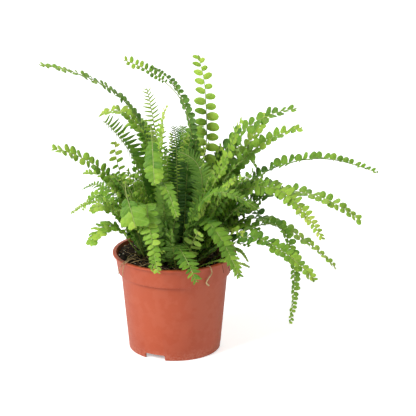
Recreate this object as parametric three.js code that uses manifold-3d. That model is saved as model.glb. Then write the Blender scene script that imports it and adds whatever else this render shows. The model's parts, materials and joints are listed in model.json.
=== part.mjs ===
// A button fern in a 12 cm plastic nursery pot.
// Millimetres, +Z up. The plant is laid out about the pot's axis, with the side that is seen
// most turned to -Y. The whole is then shifted so that the origin is on the ground, under the
// middle of the plant's box.

import * as THREE from 'three';
import { mergeVertices } from 'three/addons/utils/BufferGeometryUtils.js';
import Module from 'manifold-3d';

const wasm = await Module();
wasm.setup();

// ---------------------------------------------------------------- driving dimensions

const POT_SIDES = 32;
const POT_HEIGHT = 98;
const LIP_RADIUS = 60;
const LIP_HEIGHT = 2.4;
const BAND_TOP_RADIUS = 57.6;
const BAND_FOOT_RADIUS = 54.9;
const BAND_HEIGHT = 19.5;
const BODY_TOP_RADIUS = 51.8;
const BODY_FOOT_RADIUS = 44.7;
const WALL = 1.4;
const FLOOR_HEIGHT = 6;
const FOOT_FILLET = 0.9;

const NOTCH_COUNT = 3;
const NOTCH_WIDTH = 21;
const NOTCH_HEIGHT = 5.6;
const NOTCH_TURN = 245;            // degrees round from +X to the middle of the first notch
const DRAIN_COUNT = 6;
const DRAIN_RADIUS = 4;
const DRAIN_CIRCLE = 29;

const SOIL_TOP = 87.5;
const SOIL_FLAT_RADIUS = 45;
const SOIL_EDGE_DROP = 1.2;
const CLEARANCE = 0.3;             // gap between solids that touch on the real thing
const STEM_DEPTH = 9;              // how far a stem stands in its hole
const HOLE_DEPTH = 9.6;

const STEM_HALF_WIDTH = [0.85, 0.5];      // at the foot and at the tip of a frond
const STEM_HALF_THICKNESS = [0.65, 0.4];
const LEAF_HALF_THICKNESS = 0.31;
const STEM_STEPS = 3;              // straight pieces in the bare stretch of a stem
const FOLIAGE_GAP = 2.35;          // least distance between points on two different fronds
const SPOT_STEP = 1.2;             // spacing of the points that stand for a leaflet
const SHORTEST_LEAFLET = 5;
const STEEPEST_FOLD = 62;          // degrees
const WIDEST_TURN = 35;            // degrees between a leaflet and the next
const RIM_GUARD = 3;               // foliage stays this far off the pot and the soil

// A leaflet's outline from its lower shoulder round to its upper one. The first number runs
// along the leaflet, as a share of its length, the second across it, as a share of half its
// width. `lean` is the angle between the leaflet and the stem, `louvre` its twist about its
// own line, and `droop` how far its tip hangs, as a share of its length.
const KINDS = {
  button: {
    outline: [[0.3, -1], [0.93, -0.62], [0.93, 0.62], [0.3, 1]],
    slim: 0.62, lean: 80, louvre: 10, droop: 0.08,
  },
  plain: {
    outline: [[0.42, -1], [1, -0.05], [0.48, 1]],
    slim: 0.62, lean: 76, louvre: 10, droop: 0.1,
  },
  comb: {
    outline: [[0.22, -1], [1, 0.5], [0.3, 1]],
    slim: 0.3, lean: 72, louvre: 8, droop: 0.12,
  },
  broad: {
    outline: [[0.5, -1], [1, 0.25], [0.45, 1]],
    slim: 0.6, lean: 68, louvre: 6, droop: 0.18,
  },
};

// What a leaflet tries, in turn, until it is clear of every other frond: [turn in degrees
// added to its fold, share of its full length].
const TRIES = [
  [0, 1], [14, 1], [-14, 1], [0, 0.8], [28, 0.9], [-28, 0.9],
  [18, 0.7], [-18, 0.7], [45, 0.75], [-45, 0.75], [0, 0.55], [30, 0.5], [-30, 0.5],
];

// Each frond: its name, its kind of leaflet, the foot of its stem (x, y) on the soil, the
// point half way along its arch and its tip (x, y, z), the length of its longest leaflets,
// how many pairs it has, the bare share of its stem, how far its leaflets fold up from the
// blade and how far the blade rolls about the stem, in degrees.
const FRONDS = [
  ['top_left_long', 'button', [-8, 10], [-30, 25, 225], [-128, 10, 282], 8.5, 11, 0.24, 25, 20],
  ['top_dark', 'button', [3, 14], [15, 18, 219], [-22, 0, 282], 9.5, 10, 0.29, 20, 35],
  ['top_pale', 'plain', [-3, 20], [10, 40, 218], [-48, 40, 278], 8, 9, 0.3, 20, 30],
  ['tall', 'button', [8, 8], [30, 30, 201], [23, 35, 285], 12.5, 11, 0.26, 5, 0],
  ['upright_comb', 'comb', [-10, 2], [-14, 12, 186], [-26, 15, 257], 13, 10, 0.25, 10, 0],
  ['curl', 'plain', [-14, -4], [-13, -5, 199], [-6, -10, 246], 8, 7, 0.25, 15, 0],
  ['left_high_pale', 'plain', [-14, 14], [-30, 30, 205], [-73, 45, 221], 9, 8, 0.29, 20, 30],
  ['left_comb', 'comb', [-16, 4], [-33, 0, 190], [-67, -15, 233], 15, 10, 0.22, 5, 40],
  ['left_long', 'button', [-22, 6], [-60, 10, 169], [-117, 0, 201], 9, 10, 0.22, 45, 10],
  ['left_upright', 'plain', [-24, 0], [-48, -7, 163], [-55, -18, 214], 8, 7, 0.22, 10, 0],
  ['left_pale', 'plain', [-20, 16], [-55, 30, 153], [-90, 40, 164], 8.5, 7, 0.2, 15, 20],
  ['left_far', 'comb', [-16, 24], [-55, 55, 137], [-92, 80, 136], 9, 8, 0.2, 10, 20],
  ['left_thin', 'plain', [-28, -4], [-55, -15, 155], [-98, -25, 144], 7, 7, 0.22, 10, 10],
  ['left_short', 'broad', [-26, -12], [-53, -30, 145], [-78, -45, 153], 10, 5, 0.18, 10, 20],
  ['left_drooping', 'broad', [-30, -10], [-57, -30, 131], [-75, -50, 116], 11, 5, 0.14, 10, 30],
  ['front_high_broad', 'broad', [-6, -8], [-20, -20, 225], [-17, -62, 185], 13, 8, 0.29, 5, 0],
  ['front_left_broad', 'broad', [-20, -16], [-40, -45, 179], [-31, -78, 148], 13, 7, 0.22, 5, 0],
  ['front_left_over', 'broad', [-10, -26], [-25, -55, 162], [-14, -84, 105], 10, 8, 0.14, 10, 0],
  ['front_comb', 'comb', [-2, -16], [-10, -45, 177], [4, -72, 156], 12, 9, 0.18, 10, 0],
  ['front_over', 'comb', [2, -30], [3, -55, 121], [22, -82, 95], 11, 7, 0.1, 10, 0],
  ['front_right_over', 'broad', [10, -26], [33, -45, 149], [65, -78, 99], 12, 8, 0.11, 10, 0],
  ['right_low_thin', 'comb', [22, -22], [50, -42, 111], [72, -58, 101], 8, 5, 0.11, 10, 0],
  ['right_low_short', 'comb', [32, -18], [52, -25, 111], [71, -32, 98], 7, 5, 0.11, 10, 0],
  ['right_long', 'button', [20, 6], [94, 5, 182], [195, -10, 180], 9, 11, 0.22, 50, 0],
  ['right_round', 'button', [24, 0], [97, -10, 161], [178, -30, 138], 8, 10, 0.22, 15, -50],
  ['right_broad', 'broad', [18, -8], [78, -28, 171], [141, -55, 128], 13, 9, 0.2, 5, -30],
  ['right_low_long', 'button', [28, -6], [81, -15, 138], [156, -25, 88], 9, 10, 0.18, 20, -35],
  ['right_hanging', 'button', [24, -14], [97, -35, 135], [109, -50, 40], 9, 10, 0.18, 10, -20],
  ['right_front_low', 'button', [18, -22], [72, -48, 127], [133, -75, 93], 9, 9, 0.14, 30, -20],
  ['right_high', 'button', [14, 13], [50, 22, 193], [117, 20, 235], 10, 10, 0.22, 10, -40],
  ['right_high_low', 'plain', [16, 4], [56, 10, 179], [122, 5, 220], 9, 9, 0.22, 15, -35],
  ['right_upright_pale', 'plain', [12, -4], [46, -5, 186], [66, -10, 232], 10, 8, 0.25, 10, -30],
  ['right_back_pale', 'plain', [20, 19], [59, 45, 166], [93, 60, 222], 8, 7, 0.25, 10, -30],
  ['back_comb', 'comb', [2, 24], [7, 40, 173], [11, 55, 208], 12, 8, 0.22, 10, 0],
  ['middle_comb', 'comb', [8, -12], [28, -20, 168], [5, -38, 209], 12, 9, 0.22, 10, 0],
  ['front_level', 'comb', [6, -20], [30, -55, 168], [80, -62, 160], 10, 8, 0.22, 10, -20],
  ['right_inner_dark', 'plain', [33, 9], [56, 16, 138], [90, 6, 124], 8, 7, 0.14, 15, -20],
  ['back_left_high', 'plain', [-9, 26], [-28, 60, 195], [-52, 100, 190], 10, 6, 0.23, 10, 0],
  ['back_high', 'plain', [8, 26], [18, 75, 190], [24, 118, 176], 10, 5, 0.23, 10, 0],
  ['back_right_high', 'plain', [14, 24], [48, 72, 172], [82, 108, 150], 10, 5, 0.22, 10, 0],
  ['back_middle', 'comb', [-2, 32], [-6, 84, 158], [-8, 136, 118], 12, 7, 0.2, 10, 0],
  ['back_right', 'plain', [26, 24], [78, 58, 148], [128, 82, 106], 9, 6, 0.2, 10, 0],
  ['back_left', 'plain', [-16, 32], [-52, 84, 142], [-74, 120, 106], 9, 6, 0.2, 10, 0],
  ['back_right_low', 'plain', [16, 34], [40, 90, 130], [60, 128, 84], 9, 6, 0.18, 10, 0],
  ['back_left_low', 'plain', [-8, 38], [-28, 84, 126], [-44, 112, 84], 9, 5, 0.14, 10, 0],
  ['back_far_left', 'plain', [-26, 18], [-66, 42, 138], [-92, 58, 120], 8, 6, 0.18, 10, 0],
  ['inner_back', 'plain', [20, 29], [34, 64, 158], [50, 92, 150], 9, 6, 0.2, 10, 0],
  ['core_left', 'plain', [-14, -12], [-26, -20, 150], [-44, -34, 190], 9, 6, 0.25, 10, 0],
  ['core_middle', 'plain', [0, 1], [4, 4, 165], [0, -6, 225], 9, 7, 0.25, 10, 0],
  ['core_right', 'plain', [16, -15], [34, -24, 150], [58, -36, 182], 9, 6, 0.25, 10, 0],
];

const COLOURS = {
  pot: 0xc4583a,
  soil: 0x2b211b,
  button: 0x4f8f35,
  plain: 0x6aa83c,
  comb: 0x4c9438,
  broad: 0x7cba45,
};

// ---------------------------------------------------------------- solids from closed meshes

function bareMesh(geometry) {
  const bare = geometry.clone();
  bare.deleteAttribute('normal');
  bare.deleteAttribute('uv');
  return mergeVertices(bare);
}

function solidOf(geometry) {
  const merged = bareMesh(geometry);
  const mesh = new wasm.Mesh({
    numProp: 3,
    vertProperties: new Float32Array(merged.attributes.position.array),
    triVerts: new Uint32Array(merged.index.array),
  });
  return new wasm.Manifold(mesh);
}

function geometryOf(solid) {
  const mesh = solid.getMesh();
  const geometry = new THREE.BufferGeometry();
  geometry.setAttribute('position', new THREE.BufferAttribute(mesh.vertProperties, 3));
  geometry.setIndex(new THREE.BufferAttribute(mesh.triVerts, 1));
  geometry.computeVertexNormals();
  return geometry;
}

function namedMesh(name, geometry, color, roughness) {
  const material = new THREE.MeshStandardMaterial({ color, roughness, metalness: 0 });
  const mesh = new THREE.Mesh(geometry, material);
  mesh.name = name;
  return mesh;
}

// A closed solid turned from a profile of [radius, height] pairs that starts and ends on the
// axis. A lathe turns about Y, so the result is stood up onto Z.
function turned(profile) {
  const points = profile.map(([radius, height]) => new THREE.Vector2(radius, height));
  return new THREE.LatheGeometry(points, POT_SIDES).rotateX(Math.PI / 2);
}

// ---------------------------------------------------------------- pot

const BAND_FOOT = POT_HEIGHT - BAND_HEIGHT;
const BODY_RISE = BAND_FOOT - 1;

// Radius of the tapered wall's outside at a height below the band.
function bodyRadius(height) {
  return THREE.MathUtils.lerp(BODY_FOOT_RADIUS, BODY_TOP_RADIUS, height / BODY_RISE);
}

function potSolid() {
  const lipFoot = POT_HEIGHT - LIP_HEIGHT;
  const floorTop = FLOOR_HEIGHT + WALL;
  const shell = solidOf(turned([
    [0, FLOOR_HEIGHT],
    [bodyRadius(FLOOR_HEIGHT) - WALL - 1.2, FLOOR_HEIGHT],
    [BODY_FOOT_RADIUS - WALL - FOOT_FILLET, 0],
    [BODY_FOOT_RADIUS - FOOT_FILLET, 0],
    [bodyRadius(FOOT_FILLET), FOOT_FILLET],
    [BODY_TOP_RADIUS, BODY_RISE],
    [BAND_FOOT_RADIUS, BAND_FOOT],
    [BAND_TOP_RADIUS, lipFoot],
    [LIP_RADIUS, lipFoot + 0.4],
    [LIP_RADIUS, POT_HEIGHT - 0.4],
    [LIP_RADIUS - 0.6, POT_HEIGHT],
    [BAND_TOP_RADIUS - WALL + 0.6, POT_HEIGHT],
    [BAND_TOP_RADIUS - WALL, POT_HEIGHT - 0.8],
    [BAND_FOOT_RADIUS - WALL, BAND_FOOT + WALL],
    [BODY_TOP_RADIUS - WALL, BODY_RISE + WALL],
    [bodyRadius(floorTop) - WALL, floorTop],
    [0, floorTop],
  ]));
  let pot = shell;
  for (let i = 0; i < NOTCH_COUNT; i += 1) {
    const turn = THREE.MathUtils.degToRad(NOTCH_TURN + (360 / NOTCH_COUNT) * i);
    const notch = new THREE.BoxGeometry(12, NOTCH_WIDTH, 2 * NOTCH_HEIGHT);
    notch.translate(BODY_FOOT_RADIUS, 0, 0).rotateZ(turn);
    pot = pot.subtract(solidOf(notch));
  }
  for (let i = 0; i < DRAIN_COUNT; i += 1) {
    const turn = (2 * Math.PI * (i + 0.5)) / DRAIN_COUNT;
    const drain = new THREE.CylinderGeometry(DRAIN_RADIUS, DRAIN_RADIUS, 6 * WALL, 8);
    drain.rotateX(Math.PI / 2).translate(DRAIN_CIRCLE, 0, FLOOR_HEIGHT).rotateZ(turn);
    pot = pot.subtract(solidOf(drain));
  }
  return pot;
}

// ---------------------------------------------------------------- soil

function soilSolid(fronds) {
  const floorTop = FLOOR_HEIGHT + WALL + CLEARANCE;
  const inset = WALL + CLEARANCE;
  const step = BAND_FOOT + WALL + CLEARANCE;
  const edgeTop = SOIL_TOP - SOIL_EDGE_DROP;
  const bandShare = (edgeTop - BAND_FOOT) / (POT_HEIGHT - LIP_HEIGHT - BAND_FOOT);
  const edgeRadius = THREE.MathUtils.lerp(BAND_FOOT_RADIUS, BAND_TOP_RADIUS, bandShare) - inset;
  let soil = solidOf(turned([
    [0, floorTop],
    [bodyRadius(floorTop) - inset, floorTop],
    [BODY_TOP_RADIUS - inset, step],
    [BAND_FOOT_RADIUS - inset - 0.2, step + 0.6],
    [edgeRadius, edgeTop],
    [SOIL_FLAT_RADIUS, SOIL_TOP],
    [0, SOIL_TOP],
  ]));
  for (const frond of fronds) {
    soil = soil.subtract(solidOf(stemHole(frond)));
  }
  return soil;
}

// The plain hole that a frond's stem stands in, a little wider than the stem.
function stemHole(frond) {
  const { at, side, along, up } = frameAt(frond, 0);
  const reach = HOLE_DEPTH + 4;
  const hole = new THREE.BoxGeometry(
    2 * (STEM_HALF_WIDTH[0] + CLEARANCE),
    reach,
    2 * (STEM_HALF_THICKNESS[0] + CLEARANCE),
  );
  hole.applyMatrix4(new THREE.Matrix4().makeBasis(side, along, up));
  const middle = at.clone().addScaledVector(along, 4 - reach / 2);
  return hole.translate(middle.x, middle.y, middle.z);
}

// ---------------------------------------------------------------- a frond's line

function layFrond([name, kind, root, mid, tip, leaflet, pairs, bare, fold, roll]) {
  const foot = new THREE.Vector3(root[0], root[1], SOIL_TOP);
  const half = new THREE.Vector3(...mid);
  const end = new THREE.Vector3(...tip);
  const bend = half.multiplyScalar(2).sub(foot.clone().add(end).multiplyScalar(0.5));
  const heading = end.clone().sub(foot).setZ(0).normalize();
  return {
    name, kind, leaflet, pairs, bare, fold, roll,
    curve: new THREE.QuadraticBezierCurve3(foot, bend, end),
    length: new THREE.QuadraticBezierCurve3(foot, bend, end).getLength(),
    across: heading.cross(new THREE.Vector3(0, 0, 1)),
  };
}

// Where the stem is at a share of its length, with the directions along it, to its right and
// out of its upper face.
function frameAt(frond, share) {
  const along = frond.curve.getTangentAt(share);
  const side = frond.across.clone().addScaledVector(along, -frond.across.dot(along));
  side.normalize().applyAxisAngle(along, THREE.MathUtils.degToRad(frond.roll));
  const up = side.clone().cross(along);
  return { at: frond.curve.getPointAt(share), along, side, up };
}

// ---------------------------------------------------------------- thin solids

// A thin blade: one sheet of triangles laid twice, on its upper and on its lower face, with a
// wall round its edge.
class Blade {
  constructor() {
    this.upper = [];
    this.lower = [];
    this.faces = [];
  }

  point(at, up, halfThickness) {
    this.upper.push(at.clone().addScaledVector(up, halfThickness));
    this.lower.push(at.clone().addScaledVector(up, -halfThickness));
    return this.upper.length - 1;
  }

  // A ring of points, anticlockwise from above, as a ladder of triangles between its two sides.
  ladder(ring) {
    let low = 0;
    let high = ring.length - 1;
    while (high - low > 1) {
      this.faces.push([ring[low], ring[low + 1], ring[high]]);
      low += 1;
      if (high - low > 1) {
        this.faces.push([ring[low], ring[high - 1], ring[high]]);
        high -= 1;
      }
    }
  }

  geometry() {
    const count = this.upper.length;
    const edges = new Set();
    for (const [a, b, c] of this.faces) {
      edges.add(`${a} ${b}`).add(`${b} ${c}`).add(`${c} ${a}`);
    }
    const index = [];
    for (const [a, b, c] of this.faces) {
      index.push(a, b, c, count + a, count + c, count + b);
    }
    for (const edge of edges) {
      const [a, b] = edge.split(' ').map(Number);
      if (!edges.has(`${b} ${a}`)) {
        index.push(a, count + a, count + b, a, count + b, b);
      }
    }
    const places = [...this.upper, ...this.lower].flatMap((point) => point.toArray());
    const geometry = new THREE.BufferGeometry();
    geometry.setAttribute('position', new THREE.Float32BufferAttribute(places, 3));
    geometry.setIndex(index);
    geometry.computeVertexNormals();
    return geometry;
  }
}

// ---------------------------------------------------------------- room between the fronds

// Every frond's points, in cubes, so that those near a place are found at once.
class Thicket {
  constructor() {
    this.cubes = new Map();
  }

  cube(point) {
    return [point.x, point.y, point.z].map((value) => Math.floor(value / FOLIAGE_GAP));
  }

  add(points, owner) {
    for (const point of points) {
      const key = this.cube(point).join();
      if (!this.cubes.has(key)) {
        this.cubes.set(key, []);
      }
      this.cubes.get(key).push({ point, owner });
    }
  }

  isClear(point, owner) {
    const [i, j, k] = this.cube(point);
    for (let x = i - 1; x <= i + 1; x += 1) {
      for (let y = j - 1; y <= j + 1; y += 1) {
        for (let z = k - 1; z <= k + 1; z += 1) {
          for (const other of this.cubes.get(`${x},${y},${z}`) ?? []) {
            if (other.owner !== owner && other.point.distanceTo(point) < FOLIAGE_GAP) {
              return false;
            }
          }
        }
      }
    }
    return true;
  }
}

// Foliage keeps off the pot's wall and the soil.
function isOffPot(point) {
  const radius = Math.hypot(point.x, point.y);
  const above = point.z > POT_HEIGHT + RIM_GUARD || radius > LIP_RADIUS + RIM_GUARD;
  const within = radius < BAND_FOOT_RADIUS - WALL - RIM_GUARD && point.z > SOIL_TOP + RIM_GUARD;
  return above || within;
}

// Points all over a triangle, no further apart than the given step.
function spotsOn(a, b, c) {
  const longest = Math.max(a.distanceTo(b), b.distanceTo(c), c.distanceTo(a));
  const rows = Math.ceil(longest / SPOT_STEP);
  const spots = [];
  for (let i = 0; i <= rows; i += 1) {
    for (let j = 0; j <= rows - i; j += 1) {
      const spot = a.clone().multiplyScalar(1 - (i + j) / rows);
      spots.push(spot.addScaledVector(b, i / rows).addScaledVector(c, j / rows));
    }
  }
  return spots;
}

function stemSpots(frond) {
  const count = Math.ceil(frond.length / SPOT_STEP);
  return frond.curve.getSpacedPoints(count);
}

// ---------------------------------------------------------------- leaflets

// How long a leaflet is, as a share of the longest, at a share of the leafy stretch.
function leafletSize(share) {
  const fromFoot = Math.min(1, 0.55 + share * 1.6);
  const toTip = Math.min(1, 0.36 + (1 - share) * 1.35);
  return fromFoot * toTip;
}

// The outline of one leaflet in space. `hand` is 1 to the right of the stem and -1 to its left.
function leafletRing(frond, share, hand, base, pitch, turn, size) {
  const { outline, slim, lean, louvre, droop } = KINDS[frond.kind];
  const { along, side, up } = frameAt(frond, share);
  const leafy = (share - frond.bare) / (1 - frond.bare);
  const length = Math.max(frond.leaflet * leafletSize(leafy) * size, SHORTEST_LEAFLET);
  const halfWidth = Math.min(0.43 * pitch, Math.max(0.5 * slim * length, 0.36 * pitch));
  const rise = THREE.MathUtils.degToRad(Math.min(frond.fold + turn, STEEPEST_FOLD));
  const angle = THREE.MathUtils.degToRad(lean);
  const out = side.clone().multiplyScalar(hand * Math.cos(rise) * Math.sin(angle));
  out.addScaledVector(up, Math.sin(rise) * Math.sin(angle)).addScaledVector(along, Math.cos(angle));
  const wide = along.clone().addScaledVector(out, -along.dot(out)).normalize();
  wide.applyAxisAngle(out, THREE.MathUtils.degToRad(louvre) * hand);
  const face = out.clone().cross(wide).multiplyScalar(hand);
  const ring = outline.map(([run, spread]) => {
    const at = base.clone().addScaledVector(out, run * length);
    at.addScaledVector(wide, spread * halfWidth).addScaledVector(face, -droop * length * run * run);
    return at;
  });
  return { ring: hand > 0 ? ring : ring.reverse(), face };
}

// How far along the leafy stretch a stop lies. The steps shorten towards the tip.
function stopRun(step, pairs) {
  const run = step / (pairs + 1.6);
  return run * (1.2 - 0.2 * run);
}

// One edge of the leafy stretch, as stops with the leaflet that grows from each to the next.
function leafyEdge(frond, hand, thicket) {
  const span = 1 - frond.bare;
  const stops = [];
  for (let i = 0; i <= frond.pairs; i += 1) {
    stops.push({ share: frond.bare + span * stopRun(i + (hand > 0 ? 0.5 : 0), frond.pairs) });
  }
  let lastTurn = 0;
  for (let i = 0; i < frond.pairs; i += 1) {
    const pitch = (stops[i + 1].share - stops[i].share) * frond.length;
    const share = (stops[i].share + stops[i + 1].share) / 2;
    const { at, side } = frameAt(frond, share);
    const base = at.clone().addScaledVector(side, hand * halfWidthAt(share));
    for (const [turn, size] of TRIES.filter(([turn]) => Math.abs(turn - lastTurn) < WIDEST_TURN)) {
      const leaf = leafletRing(frond, share, hand, base, pitch, turn, size);
      const spots = leaf.ring.flatMap((corner, k) => (
        spotsOn(base, corner, leaf.ring[(k + 1) % leaf.ring.length])
      ));
      if (spots.every((spot) => isOffPot(spot) && thicket.isClear(spot, frond.name))) {
        thicket.add(spots, frond.name);
        stops[i].leaf = leaf;
        lastTurn = turn;
        break;
      }
    }
    stops[i].turn = lastTurn;
  }
  stops.forEach((stop, i) => {
    const turns = [stops[i - 1]?.turn, stop.turn].filter((turn) => turn !== undefined);
    const mean = turns.reduce((sum, turn) => sum + turn, 0) / turns.length;
    stop.tilt = Math.min(frond.fold + mean, STEEPEST_FOLD);
  });
  if (hand < 0) {
    const last = frond.bare + span * stopRun(frond.pairs + 0.5, frond.pairs);
    stops.push({ share: last, tilt: 0 });
  }
  return stops;
}

function halfWidthAt(share) {
  return THREE.MathUtils.lerp(...STEM_HALF_WIDTH, share);
}

function halfThicknessAt(share) {
  return THREE.MathUtils.lerp(...STEM_HALF_THICKNESS, share);
}

// ---------------------------------------------------------------- a whole frond

// A point on the stem's edge, lowered along the stem into its hole or tilted, in degrees, as
// the leaflets that grow there are.
function stemPoint(blade, frond, share, hand, { lowered = 0, tilt = 0 } = {}) {
  const { at, side, up, along } = frameAt(frond, share);
  const place = at.addScaledVector(side, hand * halfWidthAt(share));
  place.addScaledVector(along, -lowered);
  up.applyAxisAngle(along, -hand * THREE.MathUtils.degToRad(tilt));
  return blade.point(place, up, halfThicknessAt(share));
}

function frondGeometry(frond, thicket) {
  const blade = new Blade();
  const left = [stemPoint(blade, frond, 0, -1, { lowered: STEM_DEPTH })];
  const right = [stemPoint(blade, frond, 0, 1, { lowered: STEM_DEPTH })];
  for (let i = 0; i < STEM_STEPS; i += 1) {
    const share = (frond.bare * i) / STEM_STEPS;
    left.push(stemPoint(blade, frond, share, -1));
    right.push(stemPoint(blade, frond, share, 1));
  }
  for (let i = 0; i + 1 < left.length; i += 1) {
    blade.ladder([left[i], right[i], right[i + 1], left[i + 1]]);
  }
  const chains = [-1, 1].map((hand) => {
    const stops = leafyEdge(frond, hand, thicket);
    for (const stop of stops) {
      stop.index = stemPoint(blade, frond, stop.share, hand, { tilt: stop.tilt });
    }
    return stops;
  });
  zigzag(blade, frond, left.at(-1), right.at(-1), chains);
  for (const [chain, hand] of [[chains[0], -1], [chains[1], 1]]) {
    for (let i = 0; i + 1 < chain.length; i += 1) {
      if (chain[i].leaf) {
        growLeaflet(blade, chain[i], chain[i + 1], hand);
      }
    }
  }
  growTip(blade, frond, chains, thicket);
  return blade.geometry();
}

// The ribbon between the two leafy edges, whose stops alternate.
function zigzag(blade, frond, leftFoot, rightFoot, [leftStops, rightStops]) {
  let left = leftFoot;
  let right = rightFoot;
  let i = 0;
  let j = 0;
  while (i < leftStops.length || j < rightStops.length) {
    const leftNext = leftStops[i]?.share ?? Infinity;
    const rightNext = rightStops[j]?.share ?? Infinity;
    if (leftNext <= rightNext) {
      blade.faces.push([left, right, leftStops[i].index]);
      left = leftStops[i].index;
      i += 1;
    } else {
      blade.faces.push([left, right, rightStops[j].index]);
      right = rightStops[j].index;
      j += 1;
    }
  }
}

function growLeaflet(blade, from, to, hand) {
  const corners = from.leaf.ring.map((at) => blade.point(at, from.leaf.face, LEAF_HALF_THICKNESS));
  const ends = hand > 0 ? [from.index, to.index] : [to.index, from.index];
  blade.ladder([ends[0], ...corners, ends[1]]);
}

// The last leaflet, at the end of the stem.
function growTip(blade, frond, [leftStops, rightStops], thicket) {
  const { at: start, along, side, up } = frameAt(frond, rightStops.at(-1).share);
  const reach = start.distanceTo(frameAt(frond, 1).at);
  const corners = [[0.6, 0.22], [1, 0], [0.6, -0.22]].map(([run, spread]) => {
    const corner = start.clone().addScaledVector(along, run * reach);
    return corner.addScaledVector(side, spread * reach);
  });
  thicket.add(spotsOn(...corners), frond.name);
  const ring = corners.map((corner) => blade.point(corner, up, LEAF_HALF_THICKNESS));
  blade.ladder([rightStops.at(-1).index, ...ring, leftStops.at(-1).index]);
}

// ---------------------------------------------------------------- the whole plant

const fronds = FRONDS.map(layFrond);
const thicket = new Thicket();
for (const frond of fronds) {
  thicket.add(stemSpots(frond), frond.name);
}

const plant = new THREE.Group();
plant.add(namedMesh('pot', geometryOf(potSolid()), COLOURS.pot, 0.5));
plant.add(namedMesh('soil', geometryOf(soilSolid(fronds)), COLOURS.soil, 1));
for (const frond of fronds) {
  const geometry = frondGeometry(frond, thicket);
  plant.add(namedMesh(`frond_${frond.name}`, geometry, COLOURS[frond.kind], 0.6));
}

const reach = new THREE.Box3().setFromObject(plant);
plant.position.set(-(reach.min.x + reach.max.x) / 2, -(reach.min.y + reach.max.y) / 2, 0);

const fern = new THREE.Group();
fern.add(plant);

export default fern;
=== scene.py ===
# %% [markdown]
# # A potted fern
# A young sword fern in a terracotta coloured nursery pot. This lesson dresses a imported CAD
# model, the frame: the frame says where every part is, and each piece made here stands in the
# place of one CAD node and keeps its form. All lengths are metres and the Z axis points up.

# %% Load the frame
import json
import math
import random
import bmesh
import bpy
from mathutils import Matrix, Quaternion, Vector, noise

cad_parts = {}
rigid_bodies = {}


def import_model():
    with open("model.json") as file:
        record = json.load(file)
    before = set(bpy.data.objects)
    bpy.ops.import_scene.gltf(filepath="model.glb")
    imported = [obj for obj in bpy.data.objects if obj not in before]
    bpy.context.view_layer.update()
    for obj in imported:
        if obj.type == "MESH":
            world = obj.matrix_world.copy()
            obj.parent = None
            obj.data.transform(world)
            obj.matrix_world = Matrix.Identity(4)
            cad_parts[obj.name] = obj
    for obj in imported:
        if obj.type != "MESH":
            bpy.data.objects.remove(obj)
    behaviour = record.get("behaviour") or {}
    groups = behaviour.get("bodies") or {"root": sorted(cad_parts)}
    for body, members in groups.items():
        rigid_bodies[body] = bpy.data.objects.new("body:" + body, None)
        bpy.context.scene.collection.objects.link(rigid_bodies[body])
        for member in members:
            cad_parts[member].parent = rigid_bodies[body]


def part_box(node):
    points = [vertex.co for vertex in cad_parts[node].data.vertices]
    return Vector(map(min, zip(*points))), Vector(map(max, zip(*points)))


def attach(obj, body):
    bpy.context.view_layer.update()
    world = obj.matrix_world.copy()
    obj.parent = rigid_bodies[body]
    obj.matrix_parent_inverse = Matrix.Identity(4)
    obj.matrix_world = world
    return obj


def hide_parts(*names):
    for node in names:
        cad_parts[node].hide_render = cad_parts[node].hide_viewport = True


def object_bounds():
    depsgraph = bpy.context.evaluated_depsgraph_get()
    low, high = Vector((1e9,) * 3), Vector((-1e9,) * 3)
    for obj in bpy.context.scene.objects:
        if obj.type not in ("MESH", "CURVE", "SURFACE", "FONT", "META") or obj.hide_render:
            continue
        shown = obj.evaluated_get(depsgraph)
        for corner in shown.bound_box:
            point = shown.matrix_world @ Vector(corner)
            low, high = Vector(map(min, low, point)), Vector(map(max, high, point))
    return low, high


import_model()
cad_low, cad_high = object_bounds()
MM = 0.001
print("CAD box in mm:", [round(v / MM, 1) for v in (*cad_low, *cad_high)])

# %% [markdown]
# Everything grows from the middle of the pot. The pot is round, so the middle of its box is
# its axis, and the numbers below can be given about that axis as a potter would measure them.

# %% Find the pot's axis
pot_low, pot_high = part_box("pot")
AXIS = Vector(((pot_low.x + pot_high.x) / 2, (pot_low.y + pot_high.y) / 2, 0))
SOIL_TOP = 87.5


def placed(x, y, z):
    """A point given in mm about the pot's axis, in metres in the frame."""
    return Vector((x, y, z)) * MM + AXIS


print("pot axis in mm:", [round(v / MM, 2) for v in AXIS])

# %% [markdown]
# The camera looks slightly down on the plant from about two metres away with a long lens, so
# the pot's rim is a flat ellipse and its sides hardly converge. A camera could be aimed by
# hand, but computing its turn from two points keeps the view exact.

# %% Camera
VIEW_DISTANCE = 2000
VIEW_ELEVATION = math.radians(17.8)
VIEW_ACROSS = 32.7
VIEW_HEIGHT = 141.3
SENSOR_WIDTH = 36.0
MM_PER_PIXEL = 0.966
PICTURE_WIDTH = 416
FARTHEST_SEEN = 50


def add_object(name, data):
    """Puts an object in the scene; its data is a mesh, a lamp or a camera."""
    made = bpy.data.objects.new(name, data)
    bpy.context.collection.objects.link(made)
    return made


def aim(thing, place, target):
    """Puts a camera or a lamp at a place and turns it towards a target."""
    thing.location = place
    thing.rotation_euler = (target - place).to_track_quat("-Z", "Y").to_euler()


camera = add_object("camera", bpy.data.cameras.new("camera"))
camera_place = placed(
    VIEW_ACROSS,
    -VIEW_DISTANCE * math.cos(VIEW_ELEVATION),
    VIEW_HEIGHT + VIEW_DISTANCE * math.sin(VIEW_ELEVATION),
)
aim(camera, camera_place, placed(VIEW_ACROSS, 0, VIEW_HEIGHT))
camera.data.sensor_width = SENSOR_WIDTH
camera.data.lens = SENSOR_WIDTH * VIEW_DISTANCE / MM_PER_PIXEL / PICTURE_WIDTH
camera.data.clip_end = FARTHEST_SEEN
bpy.context.scene.camera = camera
print("lens in mm:", round(camera.data.lens, 1))

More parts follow.
